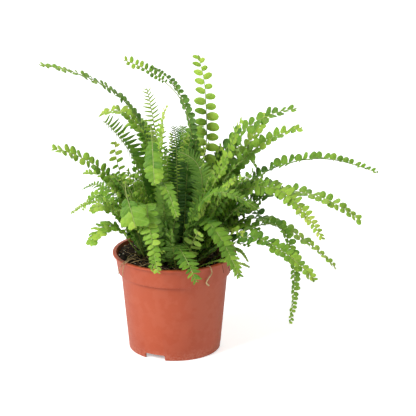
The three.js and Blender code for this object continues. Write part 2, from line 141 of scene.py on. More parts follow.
# %% [markdown]
# Every material and every Geometry Nodes tree below is a graph of nodes. One small helper
# makes a node, sets its options and fills its inputs, either with a value or with a link.

# %% Helpers for node trees
def node(tree, kind, inputs=None, **options):
    """Adds a node; inputs maps a socket's name or number to a value or to another socket."""
    made = tree.nodes.new(kind)
    for name, value in options.items():
        setattr(made, name, value)
    for socket, source in (inputs or {}).items():
        if isinstance(source, bpy.types.NodeSocket):
            tree.links.new(source, made.inputs[socket])
        else:
            made.inputs[socket].default_value = source
    return made


def math_node(tree, operation, first, second=0.0):
    """A Math node's result."""
    return node(tree, "ShaderNodeMath", {0: first, 1: second}, operation=operation).outputs[0]


def mix_colour(tree, share, first, second):
    """Two colours mixed by a share from 0 to 1."""
    sockets = {0: share, 6: first, 7: second}
    return node(tree, "ShaderNodeMix", sockets, data_type="RGBA").outputs[2]


def band(tree, value, low, high, to_low=0.0, to_high=1.0):
    """A value's range low..high mapped smoothly to to_low..to_high."""
    made = node(
        tree,
        "ShaderNodeMapRange",
        {"Value": value, "From Min": low, "From Max": high, "To Min": to_low, "To Max": to_high},
        interpolation_type="SMOOTHSTEP",
    )
    return made.outputs["Result"]


def paint(red, green, blue):
    """A colour as it is read off a screen, 0 to 255, turned into the linear values of a shader."""
    linear = []
    for part in (red, green, blue):
        share = part / 255
        linear.append(share / 12.92 if share <= 0.04045 else ((share + 0.055) / 1.055) ** 2.4)
    return (*linear, 1.0)


# %% [markdown]
# A photograph of a plant on white is lit by large soft lamps. The world gives an even white
# light from all round, one big lamp high on the left models the leaves and rounds the pot, a
# weaker one on the right opens the shadows, and one behind lights the leaves' edges. The floor
# is plain and much larger than the plant, so that it has no edge in any view. To the camera
# the floor and the world look paler than the light they give, like a backdrop lit on its own.

# %% Floor, lamps and world
WHITE = (1, 1, 1, 1)
FLOOR_HALF = 6.0
FLOOR_GLOW = 0.55
# the floor glows from this far off the pot's axis, and fully from there
GLOW_BEGINS, GLOW_FULL = 0.024, 0.040
WORLD_LIGHT, WORLD_SEEN = 0.30, 0.96


def new_material(name):
    """A material with its tree, its shader and the Object coordinates."""
    material = bpy.data.materials.new(name)
    material.use_nodes = True
    tree = material.node_tree
    place = node(tree, "ShaderNodeTexCoord").outputs["Object"]
    return material, tree, tree.nodes["Principled BSDF"], place


def floor_paint():
    """Matt white paint that glows for the camera; the glow fades out under the pot."""
    material, tree, shader, place = new_material("floor_paint")
    cloud = node(tree, "ShaderNodeTexNoise", {"Vector": place, "Scale": 3.0}).outputs[0]
    colour = mix_colour(tree, cloud, paint(246, 246, 246), paint(252, 252, 252))
    tree.links.new(colour, shader.inputs["Base Color"])
    shader.inputs["Roughness"].default_value = 0.9
    sockets = {0: place, 1: AXIS}
    away = node(tree, "ShaderNodeVectorMath", sockets, operation="DISTANCE").outputs["Value"]
    open_floor = node(tree, "ShaderNodeMapRange", {
        "Value": away, "From Min": GLOW_BEGINS, "From Max": GLOW_FULL,
    }).outputs["Result"]
    seen = node(tree, "ShaderNodeLightPath").outputs["Is Camera Ray"]
    glow = math_node(tree, "MULTIPLY", open_floor, FLOOR_GLOW)
    tree.links.new(math_node(tree, "MULTIPLY", seen, glow), shader.inputs["Emission Strength"])
    shader.inputs["Emission Color"].default_value = WHITE
    return material


floor_corners = [(-FLOOR_HALF, -FLOOR_HALF, 0), (FLOOR_HALF, -FLOOR_HALF, 0),
                 (FLOOR_HALF, FLOOR_HALF, 0), (-FLOOR_HALF, FLOOR_HALF, 0)]
floor_mesh = bpy.data.meshes.new("floor")
floor_mesh.from_pydata(floor_corners, [], [(0, 1, 2, 3)])
floor_mesh.materials.append(floor_paint())
floor = add_object("floor", floor_mesh)


def lamp(name, place, target, size, power):
    """A square soft lamp that looks at a target; its size is in metres, its power in watts."""
    data = bpy.data.lights.new(name, "AREA")
    data.shape = "SQUARE"
    data.size = size
    data.energy = power
    aim(add_object(name, data), place, target)


plant_middle = placed(20, 0, 150)
lamp("lamp_left", placed(-1500, -1100, 1500), plant_middle, 0.9, 47)
lamp("lamp_right", placed(1500, -1300, 900), plant_middle, 1.4, 7.5)
lamp("lamp_behind", placed(300, 1500, 1500), plant_middle, 1.2, 12)

world = bpy.data.worlds.new("studio")
bpy.context.scene.world = world
world.use_nodes = True
world_tree = world.node_tree
backdrop = world_tree.nodes["Background"]
backdrop.inputs["Color"].default_value = WHITE
seen_directly = node(world_tree, "ShaderNodeLightPath").outputs["Is Camera Ray"]
strength = band(world_tree, seen_directly, 0.0, 1.0, WORLD_LIGHT, WORLD_SEEN)
world_tree.links.new(strength, backdrop.inputs["Strength"])
bpy.context.scene.view_settings.view_transform = "Standard"

# %% [markdown]
# No real surface has one even colour. Two effects are shared by the finishes: a mottle,
# which drifts between two colours in soft clouds, and a fine grain, whose height feeds a Bump
# node. Each is a node group with named inputs, built once and used with its own numbers.

# %% Shared effects: mottle and fine grain
def add_inputs(group, inputs):
    """Gives a group its named inputs, each with a socket type and a first value or None."""
    for name, (kind, value) in inputs.items():
        made = group.interface.new_socket(name, in_out="INPUT", socket_type=kind)
        if value is not None:
            made.default_value = value


def new_group(name, inputs, outputs):
    """An empty shader group; outputs maps a name to a socket type."""
    group = bpy.data.node_groups.new(name, "ShaderNodeTree")
    add_inputs(group, inputs)
    for socket, kind in outputs.items():
        group.interface.new_socket(socket, in_out="OUTPUT", socket_type=kind)
    return group, node(group, "NodeGroupInput").outputs, node(group, "NodeGroupOutput")


mottle_group, given, result = new_group(
    "soft_mottle",
    {
        "Vector": ("NodeSocketVector", None),
        "Scale": ("NodeSocketFloat", 60.0),
        "Contrast": ("NodeSocketFloat", 0.2),
        "First Colour": ("NodeSocketColor", WHITE),
        "Second Colour": ("NodeSocketColor", WHITE),
    },
    {"Colour": "NodeSocketColor", "Mask": "NodeSocketFloat"},
)
cloud = node(
    mottle_group,
    "ShaderNodeTexNoise",
    {"Vector": given["Vector"], "Scale": given["Scale"], "Detail": 3.0, "Roughness": 0.55},
).outputs[0]
edge_low = math_node(mottle_group, "SUBTRACT", 0.5, given["Contrast"])
edge_high = math_node(mottle_group, "ADD", 0.5, given["Contrast"])
mask = band(mottle_group, cloud, edge_low, edge_high)
mixed = mix_colour(mottle_group, mask, given["First Colour"], given["Second Colour"])
mottle_group.links.new(mixed, result.inputs["Colour"])
mottle_group.links.new(mask, result.inputs["Mask"])

grain_group, given, result = new_group(
    "fine_grain",
    {
        "Vector": ("NodeSocketVector", None),
        "Scale": ("NodeSocketFloat", 900.0),
        "Coarse Share": ("NodeSocketFloat", 0.4),
    },
    {"Height": "NodeSocketFloat"},
)
fine = node(
    grain_group,
    "ShaderNodeTexNoise",
    {"Vector": given["Vector"], "Scale": given["Scale"], "Detail": 4.0, "Roughness": 0.65},
).outputs[0]
coarse_scale = math_node(grain_group, "MULTIPLY", given["Scale"], 0.22)
coarse = node(
    grain_group,
    "ShaderNodeTexNoise",
    {"Vector": given["Vector"], "Scale": coarse_scale, "Detail": 2.0},
).outputs[0]
height = node(
    grain_group, "ShaderNodeMix", {0: given["Coarse Share"], 2: fine, 3: coarse}
).outputs[0]
grain_group.links.new(height, result.inputs["Height"])
print("effects:", mottle_group.name, grain_group.name)


# %% Helpers that use the effects and finish a surface
def use_group(tree, group, inputs):
    """Places a shared effect in a material."""
    return node(tree, "ShaderNodeGroup", inputs, node_tree=group).outputs


def mottle(tree, place, scale, contrast, first=WHITE, second=WHITE):
    """The mottle: its Colour drifts from the first to the second, its Mask from 0 to 1."""
    return use_group(tree, mottle_group, {
        "Vector": place, "Scale": scale, "Contrast": contrast,
        "First Colour": first, "Second Colour": second,
    })


def fine_grain(tree, place, scale, coarse_share=0.4):
    """The grain's height."""
    return use_group(tree, grain_group, {
        "Vector": place, "Scale": scale, "Coarse Share": coarse_share,
    })["Height"]


def roughen(tree, shader, height, distance, rough_low, rough_high):
    """One height drives both the bump and the roughness of a surface."""
    bump = node(tree, "ShaderNodeBump", {"Height": height, "Distance": distance})
    tree.links.new(bump.outputs[0], shader.inputs["Normal"])
    rough = band(tree, height, 0.25, 0.75, rough_low, rough_high)
    tree.links.new(rough, shader.inputs["Roughness"])


def attribute(tree, name):
    """A named attribute of the mesh, as a number."""
    return node(tree, "ShaderNodeAttribute", attribute_name=name).outputs["Fac"]


# %% [markdown]
# The pot is thin moulded plastic: satin, warm terracotta, with a barely uneven colour, a fine
# moulding grain, faint scuffs all over and a little pale dust where it stood on its foot. The
# dust is a mask of height above the floor, broken up by the mottle.

# %% Pot plastic
def pot_plastic():
    """Satin terracotta plastic with scuffs, and with dust near the foot."""
    material, tree, shader, place = new_material("pot_plastic_finish")
    body = mottle(tree, place, 26.0, 0.3, paint(182, 77, 43), paint(190, 86, 51))["Colour"]
    above_floor = node(tree, "ShaderNodeSeparateXYZ", {0: place}).outputs["Z"]
    foot_dust = band(tree, above_floor, 0.0, 0.014, 1.0, 0.0)
    specks = mottle(tree, place, 420.0, 0.12)["Mask"]
    dust = math_node(tree, "MULTIPLY", foot_dust, specks)
    dust = math_node(tree, "MULTIPLY", dust, 0.35)
    dusty = mix_colour(tree, dust, body, paint(214, 150, 126))
    scuffs = math_node(tree, "MULTIPLY", mottle(tree, place, 95.0, 0.06)["Mask"], 0.07)
    scuffed = mix_colour(tree, scuffs, dusty, paint(222, 140, 112))
    tree.links.new(scuffed, shader.inputs["Base Color"])
    roughen(tree, shader, fine_grain(tree, place, 1500.0), 0.00008, 0.38, 0.52)
    shader.inputs["Specular IOR Level"].default_value = 0.5
    return material


# %% [markdown]
# A pot is a solid of revolution: its wall is drawn once as a profile of radius and height and
# swept round the axis. The three arches in the foot and the six drain holes are then cut out
# with a Boolean, which gives clean edges where the plastic was moulded round a pin.

# %% Pot: profile, sweep and cuts
POT_SEGMENTS = 160
BODY_FOOT, BODY_TOP, BODY_RISE, WALL = 44.7, 51.8, 77.5, 1.4


def body_radius(height):
    """The outside radius of the tapering body at a height, in mm."""
    return BODY_FOOT + (BODY_TOP - BODY_FOOT) * height / BODY_RISE


POT_PROFILE = [
    (0, 6.0), (body_radius(6) - 2.9, 6.0), (body_radius(6) - 2.6, 5.7), (42.5, 0.3), (42.7, 0.0),
    (43.7, 0.0), (44.1, 0.12), (44.5, 0.45), (body_radius(0.9), 0.9), (body_radius(30), 30),
    (body_radius(60), 60), (51.7, 76.9), (51.9, 77.5), (52.3, 77.8), (54.4, 78.25), (54.8, 78.45),
    (54.95, 78.9), (56.1, 86.5), (57.35, 94.4), (57.6, 95.2), (58.0, 95.75), (59.4, 95.95),
    (59.85, 96.15), (60.0, 96.5), (60.0, 97.3), (59.85, 97.7), (59.4, 98.0), (57.0, 98.0),
    (56.5, 97.8), (56.2, 97.2), (53.6, 80.3), (53.3, 79.7), (52.9, 79.5), (50.9, 79.1),
    (50.5, 78.8), (50.3, 78.3), (body_radius(40) - WALL, 40), (body_radius(8) - WALL, 8.0),
    (body_radius(7.4) - WALL - 0.5, 7.4), (0, 7.4),
]


def mesh_of(shape, name):
    """Turns a finished bmesh into a mesh whose faces all look outward."""
    bmesh.ops.recalc_face_normals(shape, faces=shape.faces)
    mesh = bpy.data.meshes.new(name)
    shape.to_mesh(mesh)
    shape.free()
    return mesh


def around(radius, turn):
    """The x and y of a point at a distance from the axis, at a turn in radians."""
    return radius * math.cos(turn), radius * math.sin(turn)


def swept(name, profile, segments, lift_of=None):
    """A closed solid swept round the pot's axis from a profile that starts and ends on it."""
    shape = bmesh.new()
    rings = []
    for radius, height in profile:
        if radius == 0:
            rings.append([shape.verts.new(placed(0, 0, height))])
            continue
        ring = []
        for step in range(segments):
            x, y = around(radius, math.tau * step / segments)
            lift = lift_of(x, y, height) if lift_of else 0.0
            ring.append(shape.verts.new(placed(x, y, height + lift)))
        rings.append(ring)
    for lower, upper in zip(rings, rings[1:]):
        for step in range(segments):
            after = (step + 1) % segments
            corners = [lower[step % len(lower)], lower[after % len(lower)],
                       upper[after % len(upper)], upper[step % len(upper)]]
            shape.faces.new(list(dict.fromkeys(corners)))
    return add_object(name, mesh_of(shape, name))


def plain_mesh(thing):
    """Turns an object with modifiers into one with a plain mesh and no modifiers."""
    graph = bpy.context.evaluated_depsgraph_get()
    mesh = bpy.data.meshes.new_from_object(thing.evaluated_get(graph))
    thing.modifiers.clear()
    thing.data = mesh
    mesh.name = thing.name


def smooth_below(thing, degrees):
    """Smooth shading everywhere but across edges sharper than an angle."""
    mesh = thing.data
    mesh.polygons.foreach_set("use_smooth", [True] * len(mesh.polygons))
    shape = bmesh.new()
    shape.from_mesh(mesh)
    limit = math.radians(degrees)
    for edge in shape.edges:
        edge.smooth = not (len(edge.link_faces) == 2 and edge.calc_face_angle() > limit)
    shape.to_mesh(mesh)
    shape.free()


def cutter_block(low_loop, high_loop):
    """A closed prism through two matching loops of points, in mm about the axis."""
    shape = bmesh.new()
    low = [shape.verts.new(placed(*p)) for p in low_loop]
    high = [shape.verts.new(placed(*p)) for p in high_loop]
    shape.faces.new(low)
    shape.faces.new(high)
    for step in range(len(low)):
        after = (step + 1) % len(low)
        shape.faces.new([low[step], low[after], high[after], high[step]])
    return add_object("cutter", mesh_of(shape, "cutter"))


# %% Pot: the piece
# sizes in mm; NOTCH_FIRST is the first notch's bearing in degrees
NOTCH_WIDTH, NOTCH_HEIGHT, NOTCH_ROUND = 21, 5.6, 1.6
NOTCH_FIRST, NOTCH_INSIDE, NOTCH_OUTSIDE = 245, 38, 49
DRAIN_RADIUS, DRAIN_CIRCLE, DRAIN_COUNT, DRAIN_SIDES = 4, 29, 6, 24
DRAIN_LOW, DRAIN_HIGH = 4.5, 9.0
POT_SHARP = 32

pot = swept("pot_shell", POT_PROFILE, POT_SEGMENTS)
half = NOTCH_WIDTH / 2
arch = [(-half, -1), (half, -1), (half, NOTCH_HEIGHT - NOTCH_ROUND)]
for step in range(1, 5):
    bend = math.radians(90 * step / 4)
    arch.append((half - NOTCH_ROUND + NOTCH_ROUND * math.cos(bend),
                 NOTCH_HEIGHT - NOTCH_ROUND + NOTCH_ROUND * math.sin(bend)))
arch += [(-x, z) for x, z in reversed(arch[2:])]
cutters = []
for notch in range(3):
    turn = math.radians(NOTCH_FIRST + 120 * notch)
    outward = Vector((math.cos(turn), math.sin(turn)))
    sideways = Vector((-outward.y, outward.x))
    inner = [(*(outward * NOTCH_INSIDE + sideways * x), z) for x, z in arch]
    outer = [(*(outward * NOTCH_OUTSIDE + sideways * x), z) for x, z in arch]
    cutters.append(cutter_block(inner, outer))
for drain in range(DRAIN_COUNT):
    turn = math.tau * drain / DRAIN_COUNT
    centre = Vector((math.cos(turn), math.sin(turn))) * DRAIN_CIRCLE
    rim = []
    for step in range(DRAIN_SIDES):
        x, y = around(DRAIN_RADIUS, math.tau * step / DRAIN_SIDES)
        rim.append((centre.x + x, centre.y + y))
    cutters.append(cutter_block([(*p, DRAIN_LOW) for p in rim], [(*p, DRAIN_HIGH) for p in rim]))

for cutter in cutters:
    cut = pot.modifiers.new("cut", "BOOLEAN")
    cut.operation = "DIFFERENCE"
    cut.solver = "EXACT"
    cut.object = cutter
plain_mesh(pot)
for cutter in cutters:
    bpy.data.objects.remove(cutter)
smooth_below(pot, POT_SHARP)
pot.data.materials.clear()
pot.data.materials.append(pot_plastic())
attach(pot, "root")
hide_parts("pot")
print("pot faces:", len(pot.data.polygons))

# %% [markdown]
# Potting soil is peat, bark and fibre: nearly black where it is damp, brown where it has
# dried, with pale bits. The bed is one lumpy solid that fills the pot, and its colour drifts
# from damp to dry in soft clouds, broken up by dark specks. The same rule, with other colours
# and scales, finishes the bark, the straw, the roots and the scales on the stems.

# %% Earthy finishes
def crumbly(name, dark, light, scale, depth):
    """A rough earthy finish between two colours; depth is its grain's height in metres."""
    material, tree, shader, place = new_material(name)
    cloud = mottle(tree, place, scale, 0.16, dark, light)["Colour"]
    specks = math_node(tree, "MULTIPLY", mottle(tree, place, scale * 5, 0.1)["Mask"], 0.45)
    tree.links.new(mix_colour(tree, specks, cloud, dark), shader.inputs["Base Color"])
    roughen(tree, shader, fine_grain(tree, place, scale * 7, 0.5), depth, 0.75, 0.97)
    shader.inputs["Specular IOR Level"].default_value = 0.15
    return material


soil_finish = crumbly("soil_finish", paint(15, 11, 8), paint(54, 42, 30), 240.0, 0.0007)
bark_finish = crumbly("bark_finish", paint(48, 35, 23), paint(108, 83, 56), 420.0, 0.0003)
straw_finish = crumbly("straw_finish", paint(134, 110, 74), paint(208, 186, 142), 500.0, 0.0002)
chalk_finish = crumbly("chalk_finish", paint(172, 164, 146), paint(222, 216, 200), 700.0, 0.0002)
pale_root_finish = crumbly(
    "pale_root_finish", paint(176, 146, 98), paint(224, 202, 158), 500.0, 0.0002
)
root_finish = crumbly("root_finish", paint(40, 28, 20), paint(104, 78, 54), 500.0, 0.0002)
print("earthy finishes:", soil_finish.name, bark_finish.name, straw_finish.name)

# %% Soil bed
DRIFT_HEIGHT, DRIFT_FROM, DRIFT_WIDTH = 9.5, 12, 50
BROAD_SCALE, BROAD_HEIGHT = 0.06, 1.2
SMALL_SCALE, SMALL_HEIGHT = 0.33, 0.9
TOP_BAND, TOP_SUNK = 3, 0.3
SOIL_SHARP = 50


def lumps(x, y, height):
    """How far the soil's top is raised or sunk at a place, in mm; it is heaped up at the left."""
    if height < SOIL_TOP - TOP_BAND:
        return 0.0
    at = Vector((x, y, 0))
    broad = noise.noise(at * BROAD_SCALE) * BROAD_HEIGHT
    small = noise.noise(at * SMALL_SCALE + Vector((7, 3, 1))) * SMALL_HEIGHT
    heap = min(1.0, max(0.0, (DRIFT_FROM - x) / DRIFT_WIDTH))
    return broad + small - TOP_SUNK + DRIFT_HEIGHT * heap * heap * (3 - 2 * heap)


soil_profile = [(0, 7.7), (body_radius(8) - WALL - 0.4, 7.7)]
soil_profile += [(body_radius(h) - WALL - 0.35, h) for h in (30, 60, 76, 78.4)]
soil_profile += [(50.1, 79.4), (51.9, 80.3), (52.7, 84.0), (53.6, 86.4)]
soil_profile += [(53.4 - 1.92 * ring, SOIL_TOP - 0.6 / ring) for ring in range(1, 27)]
soil_profile += [(0, SOIL_TOP)]
soil = swept("soil_bed", soil_profile, 120, lumps)
smooth_below(soil, SOIL_SHARP)
soil.data.materials.append(soil_finish)
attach(soil, "root")
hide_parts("soil")
print("soil faces:", len(soil.data.polygons))

# %% [markdown]
# Crumbs lie on the bed in their hundreds. Geometry Nodes scatter them: the tree spreads points
# over the top faces with a fixed seed, puts one of a few small blanks on each, turned and
# sized at random, and makes them real. Copying by hand would give the same look, but a tree
# has its density and sizes as named inputs.

# %% Blanks and helpers for scattering
def blank_collection(name, blanks):
    """Keeps blanks in a collection of their own, which a tree picks from in order of name."""
    kept = bpy.data.collections.new(name)
    for blank in blanks:
        kept.objects.link(blank)
    return kept


def drop_collection(kept):
    """Deletes blanks that have done their work."""
    for blank in list(kept.objects):
        bpy.data.objects.remove(blank)
    bpy.data.collections.remove(kept)


def crumb_blank(name, seed, squash):
    """A small uneven lump one metre across, to be scaled down."""
    shape = bmesh.new()
    bmesh.ops.create_icosphere(shape, subdivisions=1, radius=0.5)
    draw = random.Random(seed)
    for corner in shape.verts:
        corner.co *= draw.uniform(0.65, 1.15)
        corner.co.z *= squash
    return bpy.data.objects.new(name, mesh_of(shape, name))


def new_geometry_tree(name, inputs):
    """An empty Geometry Nodes tree with a geometry in and out and named inputs."""
    tree = bpy.data.node_groups.new(name, "GeometryNodeTree")
    add_inputs(tree, {"Geometry": ("NodeSocketGeometry", None), **inputs})
    tree.interface.new_socket("Geometry", in_out="OUTPUT", socket_type="NodeSocketGeometry")
    return tree, node(tree, "NodeGroupInput").outputs, node(tree, "NodeGroupOutput")


def named(tree, name, kind):
    """A named attribute of the points."""
    sockets = {"Name": name}
    return node(tree, "GeometryNodeInputNamedAttribute", sockets, data_type=kind).outputs[0]


def chance(tree, low, high, seed, vector=False):
    """A random value between two limits on each point: a number, or a vector."""
    kind, first, output = ("FLOAT_VECTOR", 0, 0) if vector else ("FLOAT", 2, 1)
    sockets = {first: low, first + 1: high, "Seed": seed}
    return node(tree, "FunctionNodeRandomValue", sockets, data_type=kind).outputs[output]


def blanks_of(tree, collection):
    """A collection's blanks one by one, each about its own origin."""
    return node(tree, "GeometryNodeCollectionInfo", {
        "Collection": collection, "Separate Children": True, "Reset Children": True,
    }).outputs[0]


def made_real(tree, geometry, material):
    """Ends a branch of a tree: its copies become real faces and get their material."""
    real = node(tree, "GeometryNodeRealizeInstances", {0: geometry}).outputs[0]
    return node(tree, "GeometryNodeSetMaterial", {0: real, "Material": material}).outputs[0]


def run_tree(thing, tree, values):
    """Runs a tree on an object with its inputs set, and leaves a plain mesh."""
    modifier = thing.modifiers.new(tree.name, "NODES")
    modifier.node_group = tree
    for item in tree.interface.items_tree:
        if item.item_type == "SOCKET" and item.in_out == "INPUT" and item.name in values:
            modifier[item.identifier] = values[item.name]
    plain_mesh(thing)


# %% Tree: crumbs on the bed
# least and most tilt about X and Y, and turn about Z, in radians
CRUMB_TURNS = ((-0.5, -0.5, 0.0), (0.5, 0.5, 6.283))

crumb_tree, given, result = new_geometry_tree("scatter_crumbs", {
    "Blanks": ("NodeSocketCollection", None),
    "Per Square Metre": ("NodeSocketFloat", 60000.0),
    "Smallest": ("NodeSocketFloat", 0.0008),
    "Largest": ("NodeSocketFloat", 0.003),
    "Lowest Place": ("NodeSocketFloat", 0.08),
    "Seed": ("NodeSocketInt", 1),
    "Material": ("NodeSocketMaterial", None),
})
place = node(crumb_tree, "GeometryNodeInputPosition").outputs[0]
up = node(crumb_tree, "ShaderNodeSeparateXYZ", {0: place}).outputs["Z"]
on_top = node(
    crumb_tree, "FunctionNodeCompare", {0: up, 1: given["Lowest Place"]}, operation="GREATER_THAN"
).outputs[0]
spots = node(crumb_tree, "GeometryNodeDistributePointsOnFaces", {
    "Mesh": given["Geometry"], "Selection": on_top,
    "Density": given["Per Square Metre"], "Seed": given["Seed"],
})
laid = node(crumb_tree, "GeometryNodeInstanceOnPoints", {
    "Points": spots.outputs["Points"], "Instance": blanks_of(crumb_tree, given["Blanks"]),
    "Pick Instance": True,
    "Rotation": chance(crumb_tree, *CRUMB_TURNS, given["Seed"], vector=True),
    "Scale": chance(crumb_tree, given["Smallest"], given["Largest"], given["Seed"]),
})
crumbs = made_real(crumb_tree, laid.outputs[0], given["Material"])
crumb_tree.links.new(crumbs, result.inputs[0])
print("crumb tree nodes:", len(crumb_tree.nodes))

# %% Crumbs, bark and pale specks
LOWEST_CRUMB = SOIL_TOP - 2.6
crumb_blanks = blank_collection(
    "crumb_blanks", [crumb_blank(f"crumb_{n}", 30 + n, 0.75) for n in range(4)]
)
chip_blanks = blank_collection(
    "chip_blanks", [crumb_blank(f"chip_{n}", 50 + n, 0.35) for n in range(3)]
)


def scatter(name, blanks, finish, density, smallest, largest, seed):
    """One piece of many crumbs on the soil's top; density per square metre, sizes in mm."""
    bed = add_object(name, soil.data.copy())
    run_tree(bed, crumb_tree, {
        "Blanks": blanks, "Per Square Metre": density, "Smallest": smallest * MM,
        "Largest": largest * MM, "Lowest Place": LOWEST_CRUMB * MM, "Seed": seed,
        "Material": finish,
    })
    bed.data.materials.clear()
    bed.data.materials.append(finish)
    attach(bed, "root")
    print(name, "faces:", len(bed.data.polygons))


scatter("soil_crumbs", crumb_blanks, soil_finish, 90000.0, 0.9, 3.2, 3)
scatter("soil_bark", chip_blanks, bark_finish, 26000.0, 1.2, 4.2, 5)
scatter("soil_chips", chip_blanks, straw_finish, 20000.0, 1.0, 2.6, 6)
scatter("soil_specks", crumb_blanks, chalk_finish, 16000.0, 0.8, 1.9, 8)
drop_collection(crumb_blanks)
drop_collection(chip_blanks)

# %% [markdown]
# Roots, dry stems and fibres are threads: a line with a thickness. A tree turns the edges of
# a mesh into curves and gives them a round section, and the radius is an attribute of each
# point, so a thread can taper. The same tree is used inside the fronds' tree for their stems.

# %% Tree: threads along lines
thread_tree, given, result = new_geometry_tree("thread_along_line", {
    "Sides": ("NodeSocketInt", 6),
    "Material": ("NodeSocketMaterial", None),
})
as_curve = node(thread_tree, "GeometryNodeMeshToCurve", {0: given["Geometry"]})
ring = node(
    thread_tree, "GeometryNodeCurvePrimitiveCircle", {"Resolution": given["Sides"], "Radius": 1.0}
)
tube = node(thread_tree, "GeometryNodeCurveToMesh", {
    "Curve": as_curve.outputs[0], "Profile Curve": ring.outputs[0], "Fill Caps": True,
    "Scale": named(thread_tree, "thickness", "FLOAT"),
})
smooth = node(thread_tree, "GeometryNodeSetShadeSmooth", {0: tube.outputs[0]})
thread = made_real(thread_tree, smooth.outputs[0], given["Material"])
thread_tree.links.new(thread, result.inputs[0])
print("thread tree nodes:", len(thread_tree.nodes))


# %% Lines for the threads
def keep_values(mesh, title, kind, values):
    """Stores one value for each point of a mesh under a name that a tree reads."""
    mesh.attributes.new(title, kind, "POINT").data.foreach_set("value", values)


def line_mesh(name, lines):
    """A mesh of loose lines; each is a list of points with a thickness, in metres."""
    points, edges, thickness = [], [], []
    for line in lines:
        first = len(points)
        for point, thick in line:
            points.append(point)
            thickness.append(thick)
        edges += [(first + n, first + n + 1) for n in range(len(line) - 1)]
    mesh = bpy.data.meshes.new(name)
    mesh.from_pydata(points, edges, [])
    keep_values(mesh, "thickness", "FLOAT", thickness)
    return mesh


def threads(name, lines, finish, sides):
    """A piece of threads, which rides with the pot."""
    made = add_object(name, line_mesh(name, lines))
    run_tree(made, thread_tree, {"Sides": sides, "Material": finish})
    made.data.materials.clear()
    made.data.materials.append(finish)
    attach(made, "root")
    print(name, "faces:", len(made.data.polygons))


def smooth_path(points, steps):
    """A smooth line through points given in mm about the axis, in metres."""
    corners = [Vector(p) for p in points]
    corners = [2 * corners[0] - corners[1], *corners, 2 * corners[-1] - corners[-2]]
    path = []
    for a, b, c, d in zip(corners, corners[1:], corners[2:], corners[3:]):
        for step in range(steps):
            t = step / steps
            path.append(0.5 * ((2 * b) + (c - a) * t + (2 * a - 5 * b + 4 * c - d) * t ** 2
                               + (3 * b - a - 3 * c + d) * t ** 3))
    path.append(corners[-2])
    return [placed(*p) for p in path]


def tapered(path, thick, thin):
    """Gives a path a thickness that falls from thick to thin, in mm."""
    last = len(path) - 1
    return [(p, (thick + (thin - thick) * n / last) * MM) for n, p in enumerate(path)]


# %% Fibres on the soil
FIBRES = 170
FIBRE_THICK, FIBRE_THIN = 0.2, 0.08
BED_EDGE = 51

fibre_draw = random.Random(21)
fibres = []
for _ in range(FIBRES):
    turn = fibre_draw.uniform(0, math.tau)
    x, y = around(50 * math.sqrt(fibre_draw.uniform(0.02, 1.0)), turn)
    heading = fibre_draw.uniform(0, math.tau)
    length = fibre_draw.uniform(3, 9)
    corners = []
    for n in range(4):
        heading += fibre_draw.uniform(-0.6, 0.6)
        near_wall = math.hypot(x, y) > BED_EDGE
        lift = lumps(x, y, SOIL_TOP) + fibre_draw.uniform(0.2, 1.0)
        corners.append((x, y, SOIL_TOP + lift))
        if near_wall:
            break
        x += math.cos(heading) * length / 3
        y += math.sin(heading) * length / 3
    if len(corners) > 2:
        fibres.append(tapered(smooth_path(corners, 3), FIBRE_THICK, FIBRE_THIN))
threads("soil_fibres", fibres, straw_finish, 4)

# %% [markdown]
# Old fronds dry to straw and lie over the rim at the left, a thick pale root hangs over it in
# front, and at the right a knot of brown roots has come up between the soil and the wall. The
# few that can be told apart are drawn point by point, and the knot is looped by a rule.

# %% Dry stems and roots at the rim
DRY_STEMS = [
    # points in mm about the axis, from the soil to the rim; the first two go on outside the band
    [(-27, -20, 90), (-35, -27, 99.5), (-46.5, -37.5, 99.4), (-51, -34.5, 93), (-53.6, -30.5, 84)],
    [(-30, -26, 91), (-38, -32, 100), (-46, -40.2, 99), (-48.5, -40.5, 92), (-48.8, -38.6, 84.5)],
    [(-20, -22, 93), (-29, -31, 99), (-37, -36, 99), (-43, -35, 96.5)],
    [(-31, -9, 96), (-36, -20, 100), (-45, -28, 98), (-47, -32, 96)],
    [(-36, -2, 96), (-40, -14, 99.5), (-44, -22, 99), (-45, -26, 96)],
    [(-16, -32, 91), (-24, -38, 97.5), (-31, -43, 97), (-38, -39, 95.5)],
]
dry_lines = [tapered(smooth_path(stem, 7), 0.5, 0.28) for stem in DRY_STEMS]
threads("dry_stems", dry_lines, straw_finish, 6)

PALE_ROOT = [(28, -40, 88), (31.5, -45, 97), (34.6, -49.6, 98.7), (36, -49.2, 95), (36.3, -47.2, 91),
             (33.2, -48.4, 86.5), (31.2, -48.4, 82), (33.6, -46.6, 78.5)]
threads("pale_root", [tapered(smooth_path(PALE_ROOT, 6), 0.3, 0.85)], pale_root_finish, 7)

# the knot's roots start at these bearings in degrees and swing round the pot as they go; they
# end over the rim or on the soil, at a radius and a height in mm
KNOT_ROOTS, KNOT_BEARINGS, KNOT_SWING = 22, (-26, 12), 18
OVER_RIM, ON_SOIL = (62.0, 90.0), (50.0, 88.0)

knot_draw = random.Random(31)
knot_lines = []
for _ in range(KNOT_ROOTS):
    turn = math.radians(knot_draw.uniform(*KNOT_BEARINGS))
    swing = math.radians(knot_draw.uniform(-KNOT_SWING, KNOT_SWING))
    reach = knot_draw.uniform(45, 50)
    top = knot_draw.uniform(101, 115)
    corners = [(*around(reach, turn), 86.0)]
    landing = OVER_RIM if knot_draw.random() < 0.35 else ON_SOIL
    ways = ((reach + 2, top - 5), (knot_draw.uniform(51, 58), top), landing)
    for step, (radius, height) in enumerate(ways, start=1):
        height += knot_draw.uniform(-2, 2)
        corners.append((*around(radius, turn + swing * step / 3), height))
    knot_lines.append(tapered(smooth_path(corners, 6), knot_draw.uniform(0.35, 0.65), 0.2))
threads("root_knot", knot_lines, root_finish, 5)

